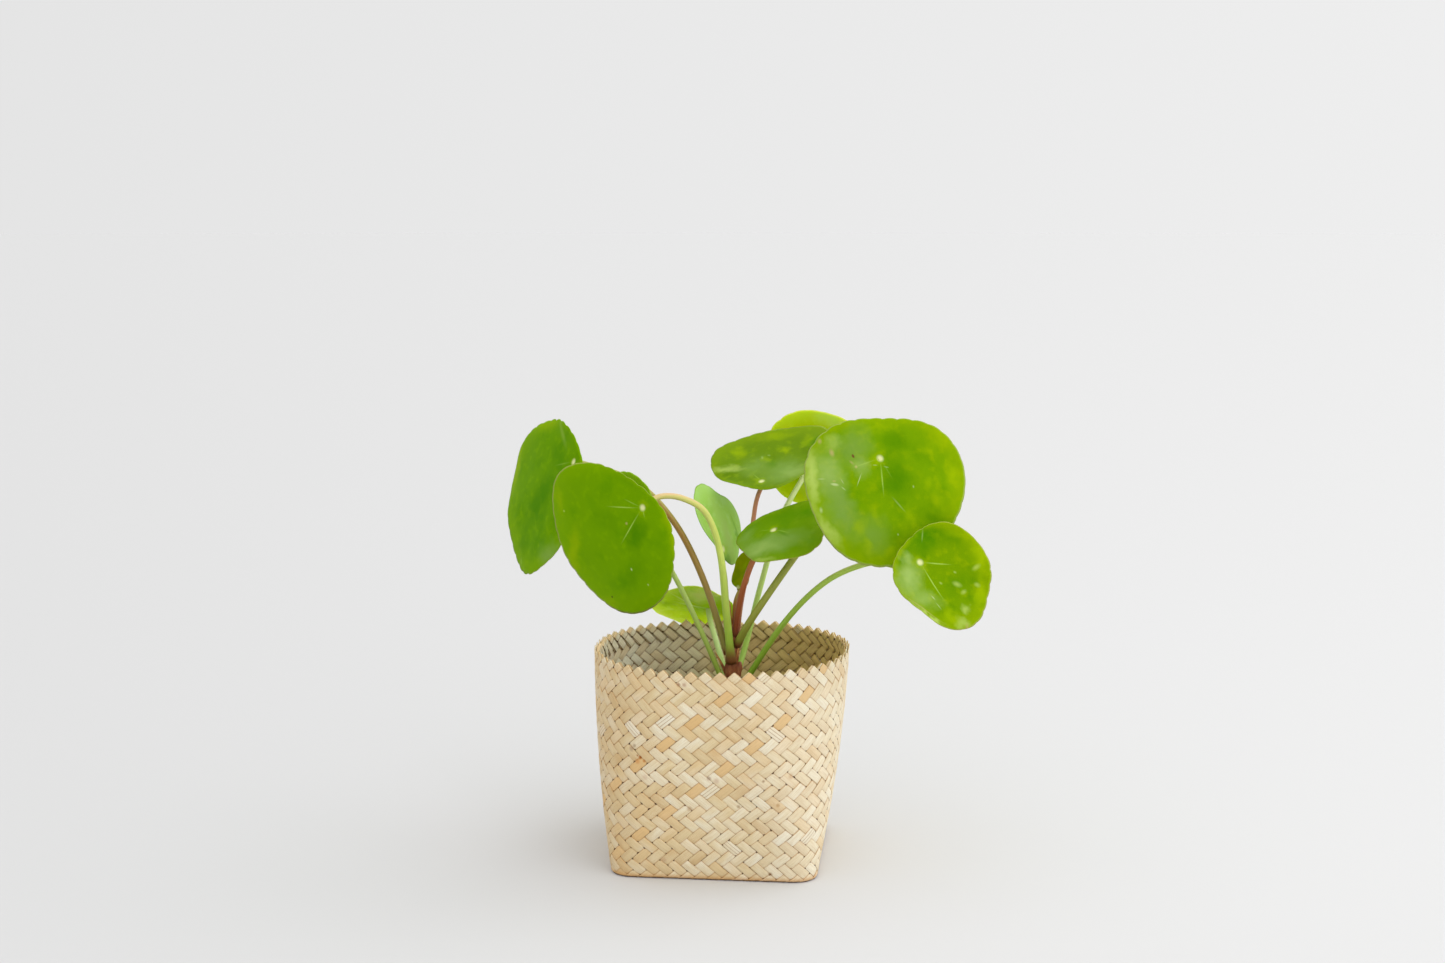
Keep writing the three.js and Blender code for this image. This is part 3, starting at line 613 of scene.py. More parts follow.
def coordinate(tree, name):
    return Wire(add_node(tree, "TexCoord").outputs[name])


def attribute(tree, name, output="Vector"):
    return Wire(add_node(tree, "Attribute", attribute_name=name).outputs[output])


def new_material(name, **values):
    """A material, its tree and its shader's inputs. values are plain ones for the inputs, with
    underscores for the spaces in their names."""
    material = bpy.data.materials.new(name)
    material.use_nodes = True
    tree = material.node_tree
    inputs = tree.nodes["Principled BSDF"].inputs
    for label, value in values.items():
        inputs[label.replace("_", " ")].default_value = value
    return material, tree, inputs


def relief(inputs, height, strength, distance):
    """Raises the surface by a height. distance is how far, in metres, where the height is 1."""
    sockets = {"Strength": strength, "Distance": distance, "Height": height}
    height.through("Bump", sockets).to(inputs["Normal"])


def new_group(name, inputs, outputs):
    """An empty shader node group, a way to its inputs by name, and its outputs. inputs and
    outputs map a socket's name to its kind."""
    group = bpy.data.node_groups.new(name, "ShaderNodeTree")
    for sockets, way in ((inputs, "INPUT"), (outputs, "OUTPUT")):
        for label, kind in sockets.items():
            group.interface.new_socket(label, in_out=way, socket_type="NodeSocket" + kind)
    entry = group.nodes.new("NodeGroupInput")
    leave = group.nodes.new("NodeGroupOutput")
    return group, lambda label: Wire(entry.outputs[label]), leave.inputs


def soft_spot_group():
    """Lays a soft-edged oval spot of a tint over a colour, for veins, flecks, stains, painted
    sheen and painted light shining through a blade."""
    numbers = ("Turn", "Half Length", "Half Width", "Softness", "Strength")
    group, entry, leave = new_group(
        "soft_spot",
        {"Under": "Color", "Tint": "Color", "Place": "Vector", "Centre": "Vector",
         **dict.fromkeys(numbers, "Float")},
        {"Color": "Color"})
    away = entry("Place").vector("SUBTRACT", entry("Centre"))
    turned = away.through("VectorRotate", {"Vector": away, "Angle": entry("Turn") * -1.0},
                          rotation_type="Z_AXIS")
    size = away.through("CombineXYZ", {0: entry("Half Length"), 1: entry("Half Width"),
                                       2: entry("Half Width")})
    distance = turned.vector("DIVIDE", size).vector("LENGTH", output="Value")
    mask = distance.eased(1.0, 1.0 - entry("Softness")) * entry("Strength")
    mask.blend(entry("Under"), entry("Tint")).to(leave["Color"])
    return group


def spotted(spot, under, tint, place, centre, half_length, half_width, turn, strength, softness):
    """Lays a spot over a colour. The turn is in degrees."""
    made = add_node(under.tree, "Group", {
        "Under": under, "Tint": colour(*tint), "Place": place, "Centre": centre,
        "Turn": math.radians(turn), "Half Length": half_length, "Half Width": half_width,
        "Softness": softness, "Strength": strength}, node_tree=spot)
    return Wire(made.outputs["Color"])


# ---------------------------------------------------------------- weave of the basket

def rounded_square_point(half, corner, share):
    """A point of a rounded square. share runs once round it anticlockwise from the middle of
    the front side."""
    straight = half - corner
    arc = corner * math.pi / 2
    quarter = 2 * straight + arc
    along = (share % 1) * 4 * quarter
    side = math.floor(along / quarter)
    rest = along - side * quarter
    x = half
    y = rest - arc - 2 * straight
    if rest < straight:
        x = rest
        y = -half
    elif rest < straight + arc:
        bend = (rest - straight) / corner
        x = straight + corner * math.sin(bend)
        y = -straight - corner * math.cos(bend)
    turn = side * math.pi / 2
    return (x * math.cos(turn) - y * math.sin(turn), x * math.sin(turn) + y * math.cos(turn))


def wall_point(share, level, depth):
    """A point of the basket's wall, depth below its outermost face. Below level 0 the wall
    rounds its lower edge and goes on under the basket."""
    if level >= 0:
        rise = level / LEVELS
        half = FOOT_HALF + (RIM_HALF - FOOT_HALF) * rise + BELLY * 4 * rise * (1 - rise)
        corner = FOOT_CORNER + (RIM_CORNER - FOOT_CORNER) * rise
        inset = depth
        z = FOOT_EDGE + LEVEL_RISE * level
    else:
        half = FOOT_HALF
        corner = FOOT_CORNER
        way = -level * LEVEL_RISE
        bend = min(way / FOOT_EDGE, math.pi / 2)
        flat = way - bend * FOOT_EDGE
        reach = FOOT_EDGE - depth
        inset = FOOT_EDGE - reach * math.cos(bend) + flat
        z = FOOT_EDGE - reach * math.sin(bend) - FOOT_SINK * bend / (math.pi / 2)
    x, y = rounded_square_point(half - inset, corner - inset, share)
    return Vector((x, y, z))


def float_start(slant):
    return 0.5 if slant > 0 else 2.5


def float_rise(along, slant):
    """How far out a strip is, from -1 to 1, at a place along it counted in crossings. It
    passes over two crossings and under the next two."""
    phase = (along + float_start(slant)) % 4
    arch = math.sin(math.pi * (phase % 2) / 2)
    return arch ** ARCH if phase < 2 else -arch ** INNER_ARCH


def add_strip(bm, layers, stations, place_at, half_width, tone_at, seed):
    """Adds one flat strip with rounded edges and square ends. tone_at gives how tan it is at a
    place along it."""
    strip_layer, tone_layer = layers
    last = len(stations)
    for vert, turn, step in ball_points(bm, STRIP_SIDES, last + 1):
        along = stations[min(max(step - 1, 0), last - 1)]
        pole = step in (0, last + 1)
        side = 0 if pole else rounded_power(math.cos(turn), STRIP_EDGE_POWER)
        out = 0 if pole else rounded_power(math.sin(turn), STRIP_FACE_POWER)
        vert.co = place_at(along, side * half_width, out * STRIP_HALF_THICKNESS)
        vert[strip_layer] = (along * CELL, side, seed)
        vert[tone_layer] = tone_at(along)


def strip_layers(bm):
    return bm.verts.layers.float_vector.new("strip"), bm.verts.layers.float.new("tone")


def wall_strands(slant, first, past, name, material):
    """The strands of one slant from first up to past, which run from under the basket up to
    the teeth."""
    bm = bmesh.new()
    layers = strip_layers(bm)
    stations = [cell + offset for cell in range(-LEVELS, 1) for offset in STRIP_STATIONS]
    stations = [STRIP_TURN_IN, *stations, STRIP_END]
    for strand in range(first, past):
        draw = random.Random(strand * 2 + (slant > 0))
        plain_tone = draw.random() ** 3 * PLAIN_TONE
        tone = TAN_STRANDS.get((slant, strand), plain_tone)
        half_width = STRIP_HALF_WIDTH * draw.uniform(NARROWEST_STRIP, 1.0)
        lifts, tilts, shifts = ([draw.uniform(-most, most) for _ in range(BRICKS)]
                                for most in (BRICK_LIFT, BRICK_TILT, BRICK_SHIFT))

        def place_at(along, across, out):
            brick = math.floor((along + float_start(slant)) / 2) % BRICKS
            rise = float_rise(along, slant)
            depth = WALL_MIDDLE - (STRIP_SWING if rise > 0 else INNER_SWING) * rise - out
            depth -= lifts[brick] * abs(rise) + tilts[brick] * across / half_width
            across += shifts[brick] * abs(rise)
            share = (PHASE + strand + slant * (along - across) / 2) / STRANDS
            return wall_point(share, TOP_LEVEL + along + across, depth)

        add_strip(bm, layers, stations, place_at, half_width, lambda along: tone,
                  strand * 7.31 + slant)
    return finished(bm, name, "woven_basket", material)


def flap_tone(along):
    return min(max((along - 0.05) / 0.4, FLAP_TONES[0]), FLAP_TONES[1])


def rim_flaps(material):
    """The strips' ends, folded in over the rim and lying down its inside."""
    bm = bmesh.new()
    layers = strip_layers(bm)
    fold_start, fold_length = FLAP_FOLD
    for strand in range(STRANDS):
        draw = random.Random(FLAP_SEED + strand)
        half_width = STRIP_HALF_WIDTH * draw.uniform(*FLAP_WIDTHS)
        lift = draw.uniform(0, FLAP_LIFT)

        def place_at(along, across, out):
            fold = clamped((along - fold_start) / fold_length) ** 2
            foot = clamped((-1.6 - along) / 0.8)
            depth = FLAP_DEPTH + lift * (1 - foot) - 0.75 * fold - 0.2 * foot
            depth -= out * (1 - 0.4 * fold)
            share = (PHASE + strand + (along - across) / 2) / STRANDS
            return wall_point(share, TOP_LEVEL + along + across, depth)

        add_strip(bm, layers, FLAP_STATIONS, place_at, half_width, flap_tone, strand * 3.7)
    return finished(bm, "basket_rim_flaps", "woven_basket", material)


def base_mat(material):
    """The woven base, whose strips run at half a right angle to the basket's sides."""
    bm = bmesh.new()
    layers = strip_layers(bm)
    half_diagonal = MAT_HALF * math.sqrt(2)
    count = int(half_diagonal / MAT_PITCH)
    for slant in (1, -1):
        diagonal = math.radians(45 * slant)
        for strand in range(-count, count + 1):
            reach = half_diagonal - abs(strand) * MAT_PITCH - MAT_MARGIN * MAT_PITCH
            if reach < MAT_PITCH:
                continue
            cells = math.floor(reach / MAT_PITCH)
            stations = [cell + offset for cell in range(-cells, cells + 1)
                        for offset in STRIP_STATIONS]

            def place_at(along, across, out):
                over = (round(along) + strand * slant) % 4 < 2
                rise = 1 if over == (slant > 0) else -1
                x = along * MAT_PITCH
                y = (strand + across) * MAT_PITCH
                return Vector((x * math.cos(diagonal) - y * math.sin(diagonal),
                               x * math.sin(diagonal) + y * math.cos(diagonal),
                               MAT_MIDDLE - STRIP_SWING * rise - out))

            add_strip(bm, layers, stations, place_at, STRIP_HALF_WIDTH, lambda along: MAT_TONE,
                      strand * 5.1 + slant)
    return finished(bm, "basket_base_mat", "woven_basket", material)


# Stains and knots on the basket: the tint, the place in strand pitches from the front middle and
# in levels, the radius in millimetres and the strength.
BASKET_MARKS = [
    ((176, 104, 26), -4.75, 20.9, 1.5, 0.9), ((188, 120, 44), -4.45, 20.4, 1.3, 0.8),
    ((150, 84, 24), -4.95, 21.2, 0.8, 0.8), ((206, 140, 70), -4.95, 20.2, 2.2, 0.6),
    ((168, 140, 112), -5.43, 22.2, 2.2, 0.7), ((150, 120, 92), -5.2, 22.8, 1.4, 0.6),
    ((170, 120, 90), -2.0, 33.8, 1.4, 0.7), ((176, 130, 100), -1.6, 33.8, 1.6, 0.6),
    ((172, 140, 112), 0.0, 17.8, 1.7, 0.7), ((196, 160, 132), 0.5, 17.4, 2.2, 0.5),
    ((160, 118, 76), -1.4, 12.3, 2.0, 0.5), ((150, 120, 84), 2.0, 13.0, 1.4, 0.6),
    ((176, 128, 70), 4.7, 13.4, 1.5, 0.6), ((196, 156, 120), -4.4, 17.6, 2.2, 0.4),
    ((140, 96, 50), 4.3, 1.0, 1.5, 0.7), ((196, 156, 118), -3.4, 3.0, 2.4, 0.5),
    ((150, 110, 70), 3.7, 17.6, 1.1, 0.7), ((190, 150, 104), 5.6, 18.2, 2.0, 0.5),
]


def palm_leaf_material(spot):
    """Dry palm-leaf strip. The attribute strip holds the way along in millimetres, the way
    across from -1 to 1, and a number of its own for each strip. The attribute tone says how tan
    it is."""
    material, tree, shader = new_material("palm_leaf", Specular_IOR_Level=0.3)
    strip = attribute(tree, "strip")
    tone = attribute(tree, "tone", "Fac")
    along, across, seed = strip.split()
    place = coordinate(tree, "Object")
    normal = coordinate(tree, "Normal")
    x, _, z = place.split()

    # each brick, the stretch of a strip that shows between two others, and dice of its own
    pairs = (along / CELL + 0.5) / 2.0
    brick = pairs.maths("FLOOR")
    from_end = (0.5 - abs(pairs - brick - 0.5)) * (2.0 * CELL)
    off_centre = abs(across)
    from_side = (1.0 - off_centre) * (STRIP_HALF_WIDTH * CELL)
    brick_place = brick.through("CombineXYZ", {0: brick, 1: seed})
    dice = brick_place.through("TexWhiteNoise", {"Vector": brick_place}, "Color")
    shade_chance, slit_chance, hole_chance = dice.split("SeparateColor")

    # straw with fibres along it, made paler at the right with painted light and browner at the
    # left with painted shade; inside the basket it is a brighter straw, palest at the left with
    # painted light and oranger at the right with painted shade
    slow = strip.stretched(0.06, 0.3, 1.0).noise(1.0)
    fibres = strip.stretched(0.11, 5.5, 3.1).noise(1.0, 3.0, 0.6)
    fine = strip.stretched(0.5, 16.0, 1.7).noise(1.0, 2.0, 0.6)
    mixed = (shade_chance * 0.75).maths("ADD", slow.eased(0.3, 0.7, -0.15, 0.3), clamp=True)
    straw = mixed.ramp((0.0, (240, 232, 208)), (0.3, (234, 220, 186)), (0.55, (226, 206, 162)),
                       (0.8, (220, 197, 153)), (1.0, (210, 180, 132)))
    around = place.stretched(1, 1, 0).vector("NORMALIZE")
    inside = around.vector("DOT_PRODUCT", normal, "Value").eased(0.1, -0.3)
    # painted light and shade inside the basket: palest at the left, where light falls in, and
    # oranger towards the right, which lies in shade
    inner = x.eased(-0.06, 0.06).ramp((0.0, (255, 255, 236)), (0.35, (255, 246, 200)),
                                      (0.6, (252, 228, 160)), (1.0, (254, 220, 134)))
    inner = (shade_chance * 0.5).blend(inner, (240, 212, 156))
    # painted light on the right side of the basket and painted shade on its left side
    right_painted_light = x.eased(0.005, 0.055, 0.0, 0.4).blend(straw, (244, 238, 220))
    left_painted_shade = x.eased(-0.01, -0.06, 0.0, 0.35).blend(right_painted_light, (204, 170, 116))
    faced = (inside * 0.95).blend(left_painted_shade, inner)
    tanned = tone.blend(faced, (226, 188, 130))
    streaked = fibres.eased(0.4, 0.75, 0.0, 0.4).blend(tanned, (200, 168, 118))
    lined = fine.eased(0.52, 0.75, 0.0, 0.22).blend(streaked, (166, 128, 80))

    # a few bricks are bleached and slit lengthwise
    split = slit_chance.eased(0.96, 0.965) * tone.eased(0.6, 0.4)
    slit = abs(off_centre - 0.34).eased(0.1, 0.02) * split
    bleached = (split * 0.4).blend(lined, (244, 240, 224))
    slitted = (slit * 0.75).blend(bleached, (166, 124, 76))

    # darker joints along the strips' sides; painted shade at the bricks' ends, where each dips
    # under the next, and along the bricks' edges inside; small dark holes painted at some of the
    # bricks' corners as shade in the gaps; a tan lower edge that is painted warm light bounced up
    # from the floor; and painted shade on faces turned down to the floor
    joint = from_side.eased(0.24, 0.04) * slow.eased(0.3, 0.7, 0.1, 0.55)
    sided = joint.blend(slitted, (206, 156, 92))
    # painted shade at each brick's ends, where it dips under the crossing strip
    end_painted_shade = from_end.eased(0.5, 0.08, 0.0, 0.5).blend(sided, (178, 126, 70))
    near_edge = (from_side * 1.4).maths("MINIMUM", from_end)
    # painted shade inside the basket, along the bricks' edges
    inside_edge_painted_shade = (near_edge.eased(0.8, 0.1, 0.0, 0.3) * inside).blend(end_painted_shade, (140, 108, 60))
    # painted shade: small dark holes at some bricks' corners, more of them towards the left and
    # right sides
    corner = from_end.maths("POWER", 2.0) + (from_side / 0.7).maths("POWER", 2.0)
    open_corner = (hole_chance + abs(x) * 8.0).eased(0.75, 0.95)
    corner_holes_painted_shade = (corner.eased(1.1, 0.4) * open_corner).blend(inside_edge_painted_shade, (74, 44, 18))
    # painted warm light bounced up from the floor, along the basket's lower edge
    foot_painted_bounce_light = z.eased(0.0034, 0.0012, 0.0, 0.5).blend(corner_holes_painted_shade, (214, 158, 88))
    # painted shade on faces turned down to the floor, near it
    below = normal.split()[2].eased(-0.4, -0.8) * z.eased(0.003, 0.002)
    shade = below.blend(foot_painted_bounce_light, (122, 80, 46))
    for tint, strands_off, level, radius, strength in BASKET_MARKS:
        centre = wall_point(strands_off / STRANDS, level, 0.4) * MM
        radius *= MM
        shade = spotted(spot, shade, tint, place, centre, radius, radius, 0, strength, 0.8)
    shade.to(shader["Base Color"])
    relief(shader, fibres + fine * 0.6 - slit * 2.0, 0.4, 0.0002)
    fibres.eased(0.3, 0.7, 0.5, 0.7).to(shader["Roughness"])
    return material


def make_basket(spot):
    material = palm_leaf_material(spot)
    half = STRANDS // 2
    for slant, way in ((1, "right"), (-1, "left")):
        for first, past, part in ((0, half, "a"), (half, STRANDS, "b")):
            wall_strands(slant, first, past, f"basket_{way}_leaning_strips_{part}", material)
    rim_flaps(material)
    base_mat(material)


# ---------------------------------------------------------------- pot and soil

def pot_plastic_material():
    material, tree, shader = new_material("pot_plastic")
    place = coordinate(tree, "Object")
    smear = place.noise(60.0, 3.0)
    smear.eased(0.4, 0.75, 0.0, 0.4).blend((30, 29, 28), (58, 52, 46)).to(shader["Base Color"])
    smear.eased(0.3, 0.7, 0.42, 0.65).to(shader["Roughness"])
    relief(shader, place.noise(900.0), 0.3, 0.0001)
    return material


def make_pot():
    """A turned nursery pot with a rolled lip and drain holes in its floor."""
    top = POT_FOOT + POT_HEIGHT
    lip = top - POT_LIP_HEIGHT
    inner_top = POT_TOP_RADIUS - POT_WALL
    floor = POT_FOOT + POT_FLOOR
    profile = [
        (0, POT_FOOT + 1), (POT_FOOT_RADIUS - 3, POT_FOOT + 1), (POT_FOOT_RADIUS - 2, POT_FOOT),
        (POT_FOOT_RADIUS, POT_FOOT), (POT_TOP_RADIUS, lip), (POT_LIP_RADIUS - 0.6, lip),
        (POT_LIP_RADIUS, lip + 0.6), (POT_LIP_RADIUS, top - 0.8), (POT_LIP_RADIUS - 0.7, top),
        (inner_top + 0.6, top), (inner_top, top - 0.6), (POT_FOOT_RADIUS - POT_WALL, floor),
        (0, floor),
    ]
    bm = bmesh.new()
    verts = [bm.verts.new((x, 0, z)) for x, z in profile]
    edges = [bm.edges.new(pair) for pair in zip(verts, verts[1:])]
    bmesh.ops.spin(bm, geom=verts + edges, axis=(0, 0, 1), cent=(0, 0, 0), angle=FULL_TURN,
                   steps=POT_SIDES, use_merge=True)
    bmesh.ops.remove_doubles(bm, verts=bm.verts, dist=0.01)
    piece = finished(bm, "nursery_pot", "grower_pot", pot_plastic_material())
    bits = bmesh.new()
    for drain in range(DRAINS):
        turn = FULL_TURN * (drain + 0.5) / DRAINS
        bit = bmesh.ops.create_cone(bits, cap_ends=True, segments=24, radius1=DRAIN_RADIUS,
                                    radius2=DRAIN_RADIUS, depth=8)
        bmesh.ops.translate(bits, verts=bit["verts"], vec=(
            DRAIN_CIRCLE * math.cos(turn), DRAIN_CIRCLE * math.sin(turn), POT_FOOT + 1))
    bmesh.ops.scale(bits, vec=(MM, MM, MM), verts=bits.verts)
    cutter = placed("drain_bits", mesh_of(bits, "drain_bits"))
    cut = piece.modifiers.new("drain_holes", "BOOLEAN")
    cut.operation = "DIFFERENCE"
    cut.object = cutter
    cut.solver = "EXACT"
    shaped = piece.evaluated_get(bpy.context.evaluated_depsgraph_get())
    drained = bpy.data.meshes.new_from_object(shaped)
    piece.modifiers.clear()
    piece.data = drained
    bpy.data.objects.remove(cutter)
    sharp = piece.modifiers.new("crisp_edges", "EDGE_SPLIT")
    sharp.split_angle = math.radians(35)
    return piece


def soil_height(x, y, edge):
    share = math.hypot(x, y) / edge
    crown = SOIL_CROWN * (1 - share * share)
    lumps = noise.noise(Vector((x / 9, y / 9, 4.2))) + 0.5 * noise.noise(Vector((x / 3, y / 3, 1)))
    return SOIL_TOP + crown + SOIL_LUMP * lumps


def potting_soil_material():
    material, tree, shader = new_material("potting_soil", Roughness=0.95, Specular_IOR_Level=0.2)
    place = coordinate(tree, "Object")
    crumbs = place.noise(420.0, 4.0, 0.65)
    dark = crumbs.eased(0.35, 0.7).blend((22, 17, 14), (58, 43, 33))
    patches = place.noise(90.0).eased(0.55, 0.8, 0.0, 0.6)
    patches.blend(dark, (84, 62, 44)).to(shader["Base Color"])
    relief(shader, crumbs, 0.9, 0.0008)
    return material


def make_soil():
    """The crowned, lumpy bed, and the loose crumbs and bits of bark that lie on it."""
    material = potting_soil_material()
    foot = POT_FOOT + POT_FLOOR + SOIL_GAP
    foot_radius = POT_FOOT_RADIUS - POT_WALL - SOIL_GAP
    slope = (POT_TOP_RADIUS - POT_FOOT_RADIUS) / (POT_HEIGHT - POT_FLOOR) * SOIL_SLOPE
    edge = foot_radius + (SOIL_TOP - foot) * slope
    bm = bmesh.new()
    for vert, turn, step in ball_points(bm, SOIL_SECTORS, SOIL_TOP_RINGS + SOIL_SIDE_RINGS):
        if step <= SOIL_TOP_RINGS:
            reach = edge * step / SOIL_TOP_RINGS
            top = soil_height(reach * math.cos(turn), reach * math.sin(turn), edge)
            z = SOIL_TOP + (top - SOIL_TOP) * min(1, (1 - step / SOIL_TOP_RINGS) * 8)
        else:
            down = (step - SOIL_TOP_RINGS) / SOIL_SIDE_RINGS
            reach = 0 if down == 1 else edge + (foot_radius - edge) * min(1, down * 1.25)
            z = SOIL_TOP + (foot - SOIL_TOP) * min(1, down * 1.25)
        vert.co = (reach * math.cos(turn), reach * math.sin(turn), z)
    finished(bm, "soil_bed", "potting_soil", material)
    bm = bmesh.new()
    draw = random.Random(CRUMB_SEED)
    for crumb in range(SOIL_CRUMBS):
        reach = (edge - 2) * math.sqrt(draw.random())
        turn = draw.uniform(0, FULL_TURN)
        size = draw.uniform(0.35, 1.5) ** 1.4
        lump = bmesh.ops.create_icosphere(bm, subdivisions=1, radius=size)
        longest = 2.2 if crumb % 5 == 0 else 1.3
        shape = (draw.uniform(0.8, longest), draw.uniform(0.7, 1.1), draw.uniform(0.5, 0.9))
        bmesh.ops.scale(bm, vec=shape, verts=lump["verts"])
        spin = Matrix.Rotation(draw.uniform(0, FULL_TURN), 3, draw.choice("XYZ"))
        bmesh.ops.rotate(bm, cent=(0, 0, 0), matrix=spin, verts=lump["verts"])
        x, y = reach * math.cos(turn), reach * math.sin(turn)
        bmesh.ops.translate(bm, vec=(x, y, soil_height(x, y, edge)), verts=lump["verts"])
    finished(bm, "soil_crumbs", "potting_soil", material)


# ---------------------------------------------------------------- trunk

def trunk_material():
    """Dark red-brown low down and a lighter brown higher up, blotched and specked."""
    material, tree, shader = new_material("trunk_bark", Roughness=0.55)
    place = coordinate(tree, "Object")
    blotch = place.stretched(1, 1, 0.5).noise(260.0, 3.0, 0.6)
    blotched = blotch.eased(0.35, 0.7)
    low = blotched.blend((70, 26, 20), (112, 50, 32))
    high = blotched.blend((134, 70, 42), (178, 114, 68))
    bark = place.split()[2].eased(0.088, 0.099).blend(low, high)
    specks = place.noise(1500.0).eased(0.62, 0.75, 0.0, 0.5)
    specks.blend(bark, (176, 128, 86)).to(shader["Base Color"])
    relief(shader, blotch, 0.6, 0.0003)
    return material


def stipule_material():
    material, tree, shader = new_material("stipule_paper", Roughness=0.7)
    way = attribute(tree, "way")
    grain = way.stretched(2.0, 0.2, 4.0).noise(3.0, 3.0).eased(0.4, 0.7, 0.0, 0.6)
    paper = way.split()[0].eased(0.1, 0.9).blend((150, 82, 38), (214, 152, 86))
    grain.blend(paper, (92, 40, 22)).to(shader["Base Color"])
    return material


def make_trunk():
    """The short trunk with its leaf scars, the stump of a side shoot, and papery stipules."""
    def trunk_radius(share, turn):
        scar = math.sin(FULL_TURN * TRUNK_RINGS * share + 0.6 * math.sin(turn + 9 * share))
        around = Vector((math.cos(turn) * 1.5, math.sin(turn) * 1.5, share * 26))
        ringed = TRUNK_RADIUS + TRUNK_RING_RISE * scar
        ringed += TRUNK_LUMP_RISE * noise.noise(around)
        if share > TRUNK_TAPER_FROM:
            ease = (share - TRUNK_TAPER_FROM) / (1 - TRUNK_TAPER_FROM)
            ringed += (TRUNK_TOP_RADIUS - TRUNK_RADIUS) * ease ** 1.5
        return ringed

    def stump_radius(share, turn):
        return STUMP_RADIUS * math.sqrt(max(0.02, 1 - max(0, (share - 0.75) / 0.25) ** 2))

    bm = bmesh.new()
    layer = bm.verts.layers.float_vector.new("way")
    add_rod(bm, TRUNK_ROUTE, *TRUNK_GRID, trunk_radius, layer)
    add_rod(bm, STUMP_ROUTE, *STUMP_GRID, stump_radius, layer)
    finished(bm, "trunk_stem", "trunk", trunk_material())
    bm = bmesh.new()
    layer = bm.verts.layers.float_vector.new("way")
    trunk_x, trunk_y, _ = TRUNK_ROUTE[0]
    for scale in STIPULES:
        root = Vector(scale["root"])
        axis = Vector(scale["point"]) - root
        outward = Vector((root.x - trunk_x, root.y - trunk_y, 0)).normalized()
        broad = axis.cross(outward).normalized()
        thick = broad.cross(axis).normalized()
        for vert, turn, step in ball_points(bm, STIPULE_SIDES, STIPULE_RINGS):
            share = step / STIPULE_RINGS
            half = scale["width"] / 2 * (1 - share) ** 0.8 * min(1, 0.6 + 3 * share)
            half = 0 if step in (0, STIPULE_RINGS) else half
            curl = STIPULE_CURL * (math.cos(turn) * (1 - share)) ** 2
            thin = STIPULE_THICKNESS / 2 * (1 - 0.6 * share)
            vert.co = (root + axis * share + broad * (half * math.cos(turn))
                       + thick * (thin * math.sin(turn) * (half > 0) + curl))
            vert[layer] = (share, turn, root.z)
    finished(bm, "trunk_stipules", "trunk", stipule_material())


# ---------------------------------------------------------------- leaves and stalks

def leaf_axes(leaf):
    turn, tilt, tip = (math.radians(leaf[key]) for key in ("turn", "tilt", "tip"))
    facing = Vector((math.sin(turn) * math.cos(tilt), -math.cos(turn) * math.cos(tilt),
                     math.sin(tilt)))
    level = Vector((math.cos(turn), math.sin(turn), 0))
    rising = facing.cross(level)
    along = level * math.cos(tip) + rising * math.sin(tip)
    aside = rising * math.cos(tip) - level * math.sin(tip)
    return facing, along, aside


def leaf_reach(leaf, angle):
    """The blade's reach from the centre of its oval, in a direction measured from the tip."""
    oval = 1 / math.hypot(math.cos(angle) / leaf["length"], math.sin(angle) / leaf["width"])
    egg = leaf["egg"][0] * math.cos(3 * (angle - math.radians(leaf["egg"][1])))
    square = leaf["square"][0] * math.cos(4 * (angle - math.radians(leaf["square"][1])))
    return oval * (1 + egg + square)


def make_blade(leaf, material):
    facing, along, aside = leaf_axes(leaf)
    navel = Vector(leaf["navel"])
    size = (leaf["length"] + leaf["width"]) / 2
    teeth = max(FEWEST_TEETH, round(size * TEETH))
    seed = leaf["navel"][0] * 0.31
    waves = leaf["ripple"]
    bm = bmesh.new()
    layer = bm.verts.layers.float_vector.new("blade")
    for vert, turn, step in ball_points(bm, BLADE_SECTORS, 2 * BLADE_RINGS):
        face = 1 if step <= BLADE_RINGS else -1
        inner = min(step, 2 * BLADE_RINGS - step) / BLADE_RINGS
        share = 1 - (1 - inner) ** RING_POWER if inner > 0.5 else inner ** RING_POWER
        tooth = abs(math.cos(teeth * turn / 2 + seed)) ** 0.5
        notch = -NOTCH_SHARE * (1 - tooth) * (0.6 + 0.4 * math.sin(2.3 * turn + seed))
        reach = leaf_reach(leaf, turn) * (1 + notch * share ** 6)
        p = share * (leaf["offset"] + reach * math.cos(turn))
        q = share * reach * math.sin(turn)
        from_centre = (p - leaf["offset"]) ** 2 + q ** 2
        height = leaf["cup"] * (from_centre - leaf["offset"] ** 2) / size ** 2
        height += waves * share ** 3 * math.sin(MARGIN_WAVES * turn + leaf["navel"][0])
        bumps = noise.noise(Vector((p / 13, q / 13, seed)))
        height += min(waves, UNEVENNESS) * share * bumps
        height -= NAVEL_DENT * math.exp(-(p * p + q * q) / 5)
        thin = BLADE_HALF_THICKNESS * math.sqrt(max(0, 1 - share ** 10))
        vert.co = navel + along * p + aside * q + facing * (height + face * thin)
        vert[layer] = (p, q, share)
    return finished(bm, "blade_" + leaf["name"], "leaf_" + leaf["name"], material)


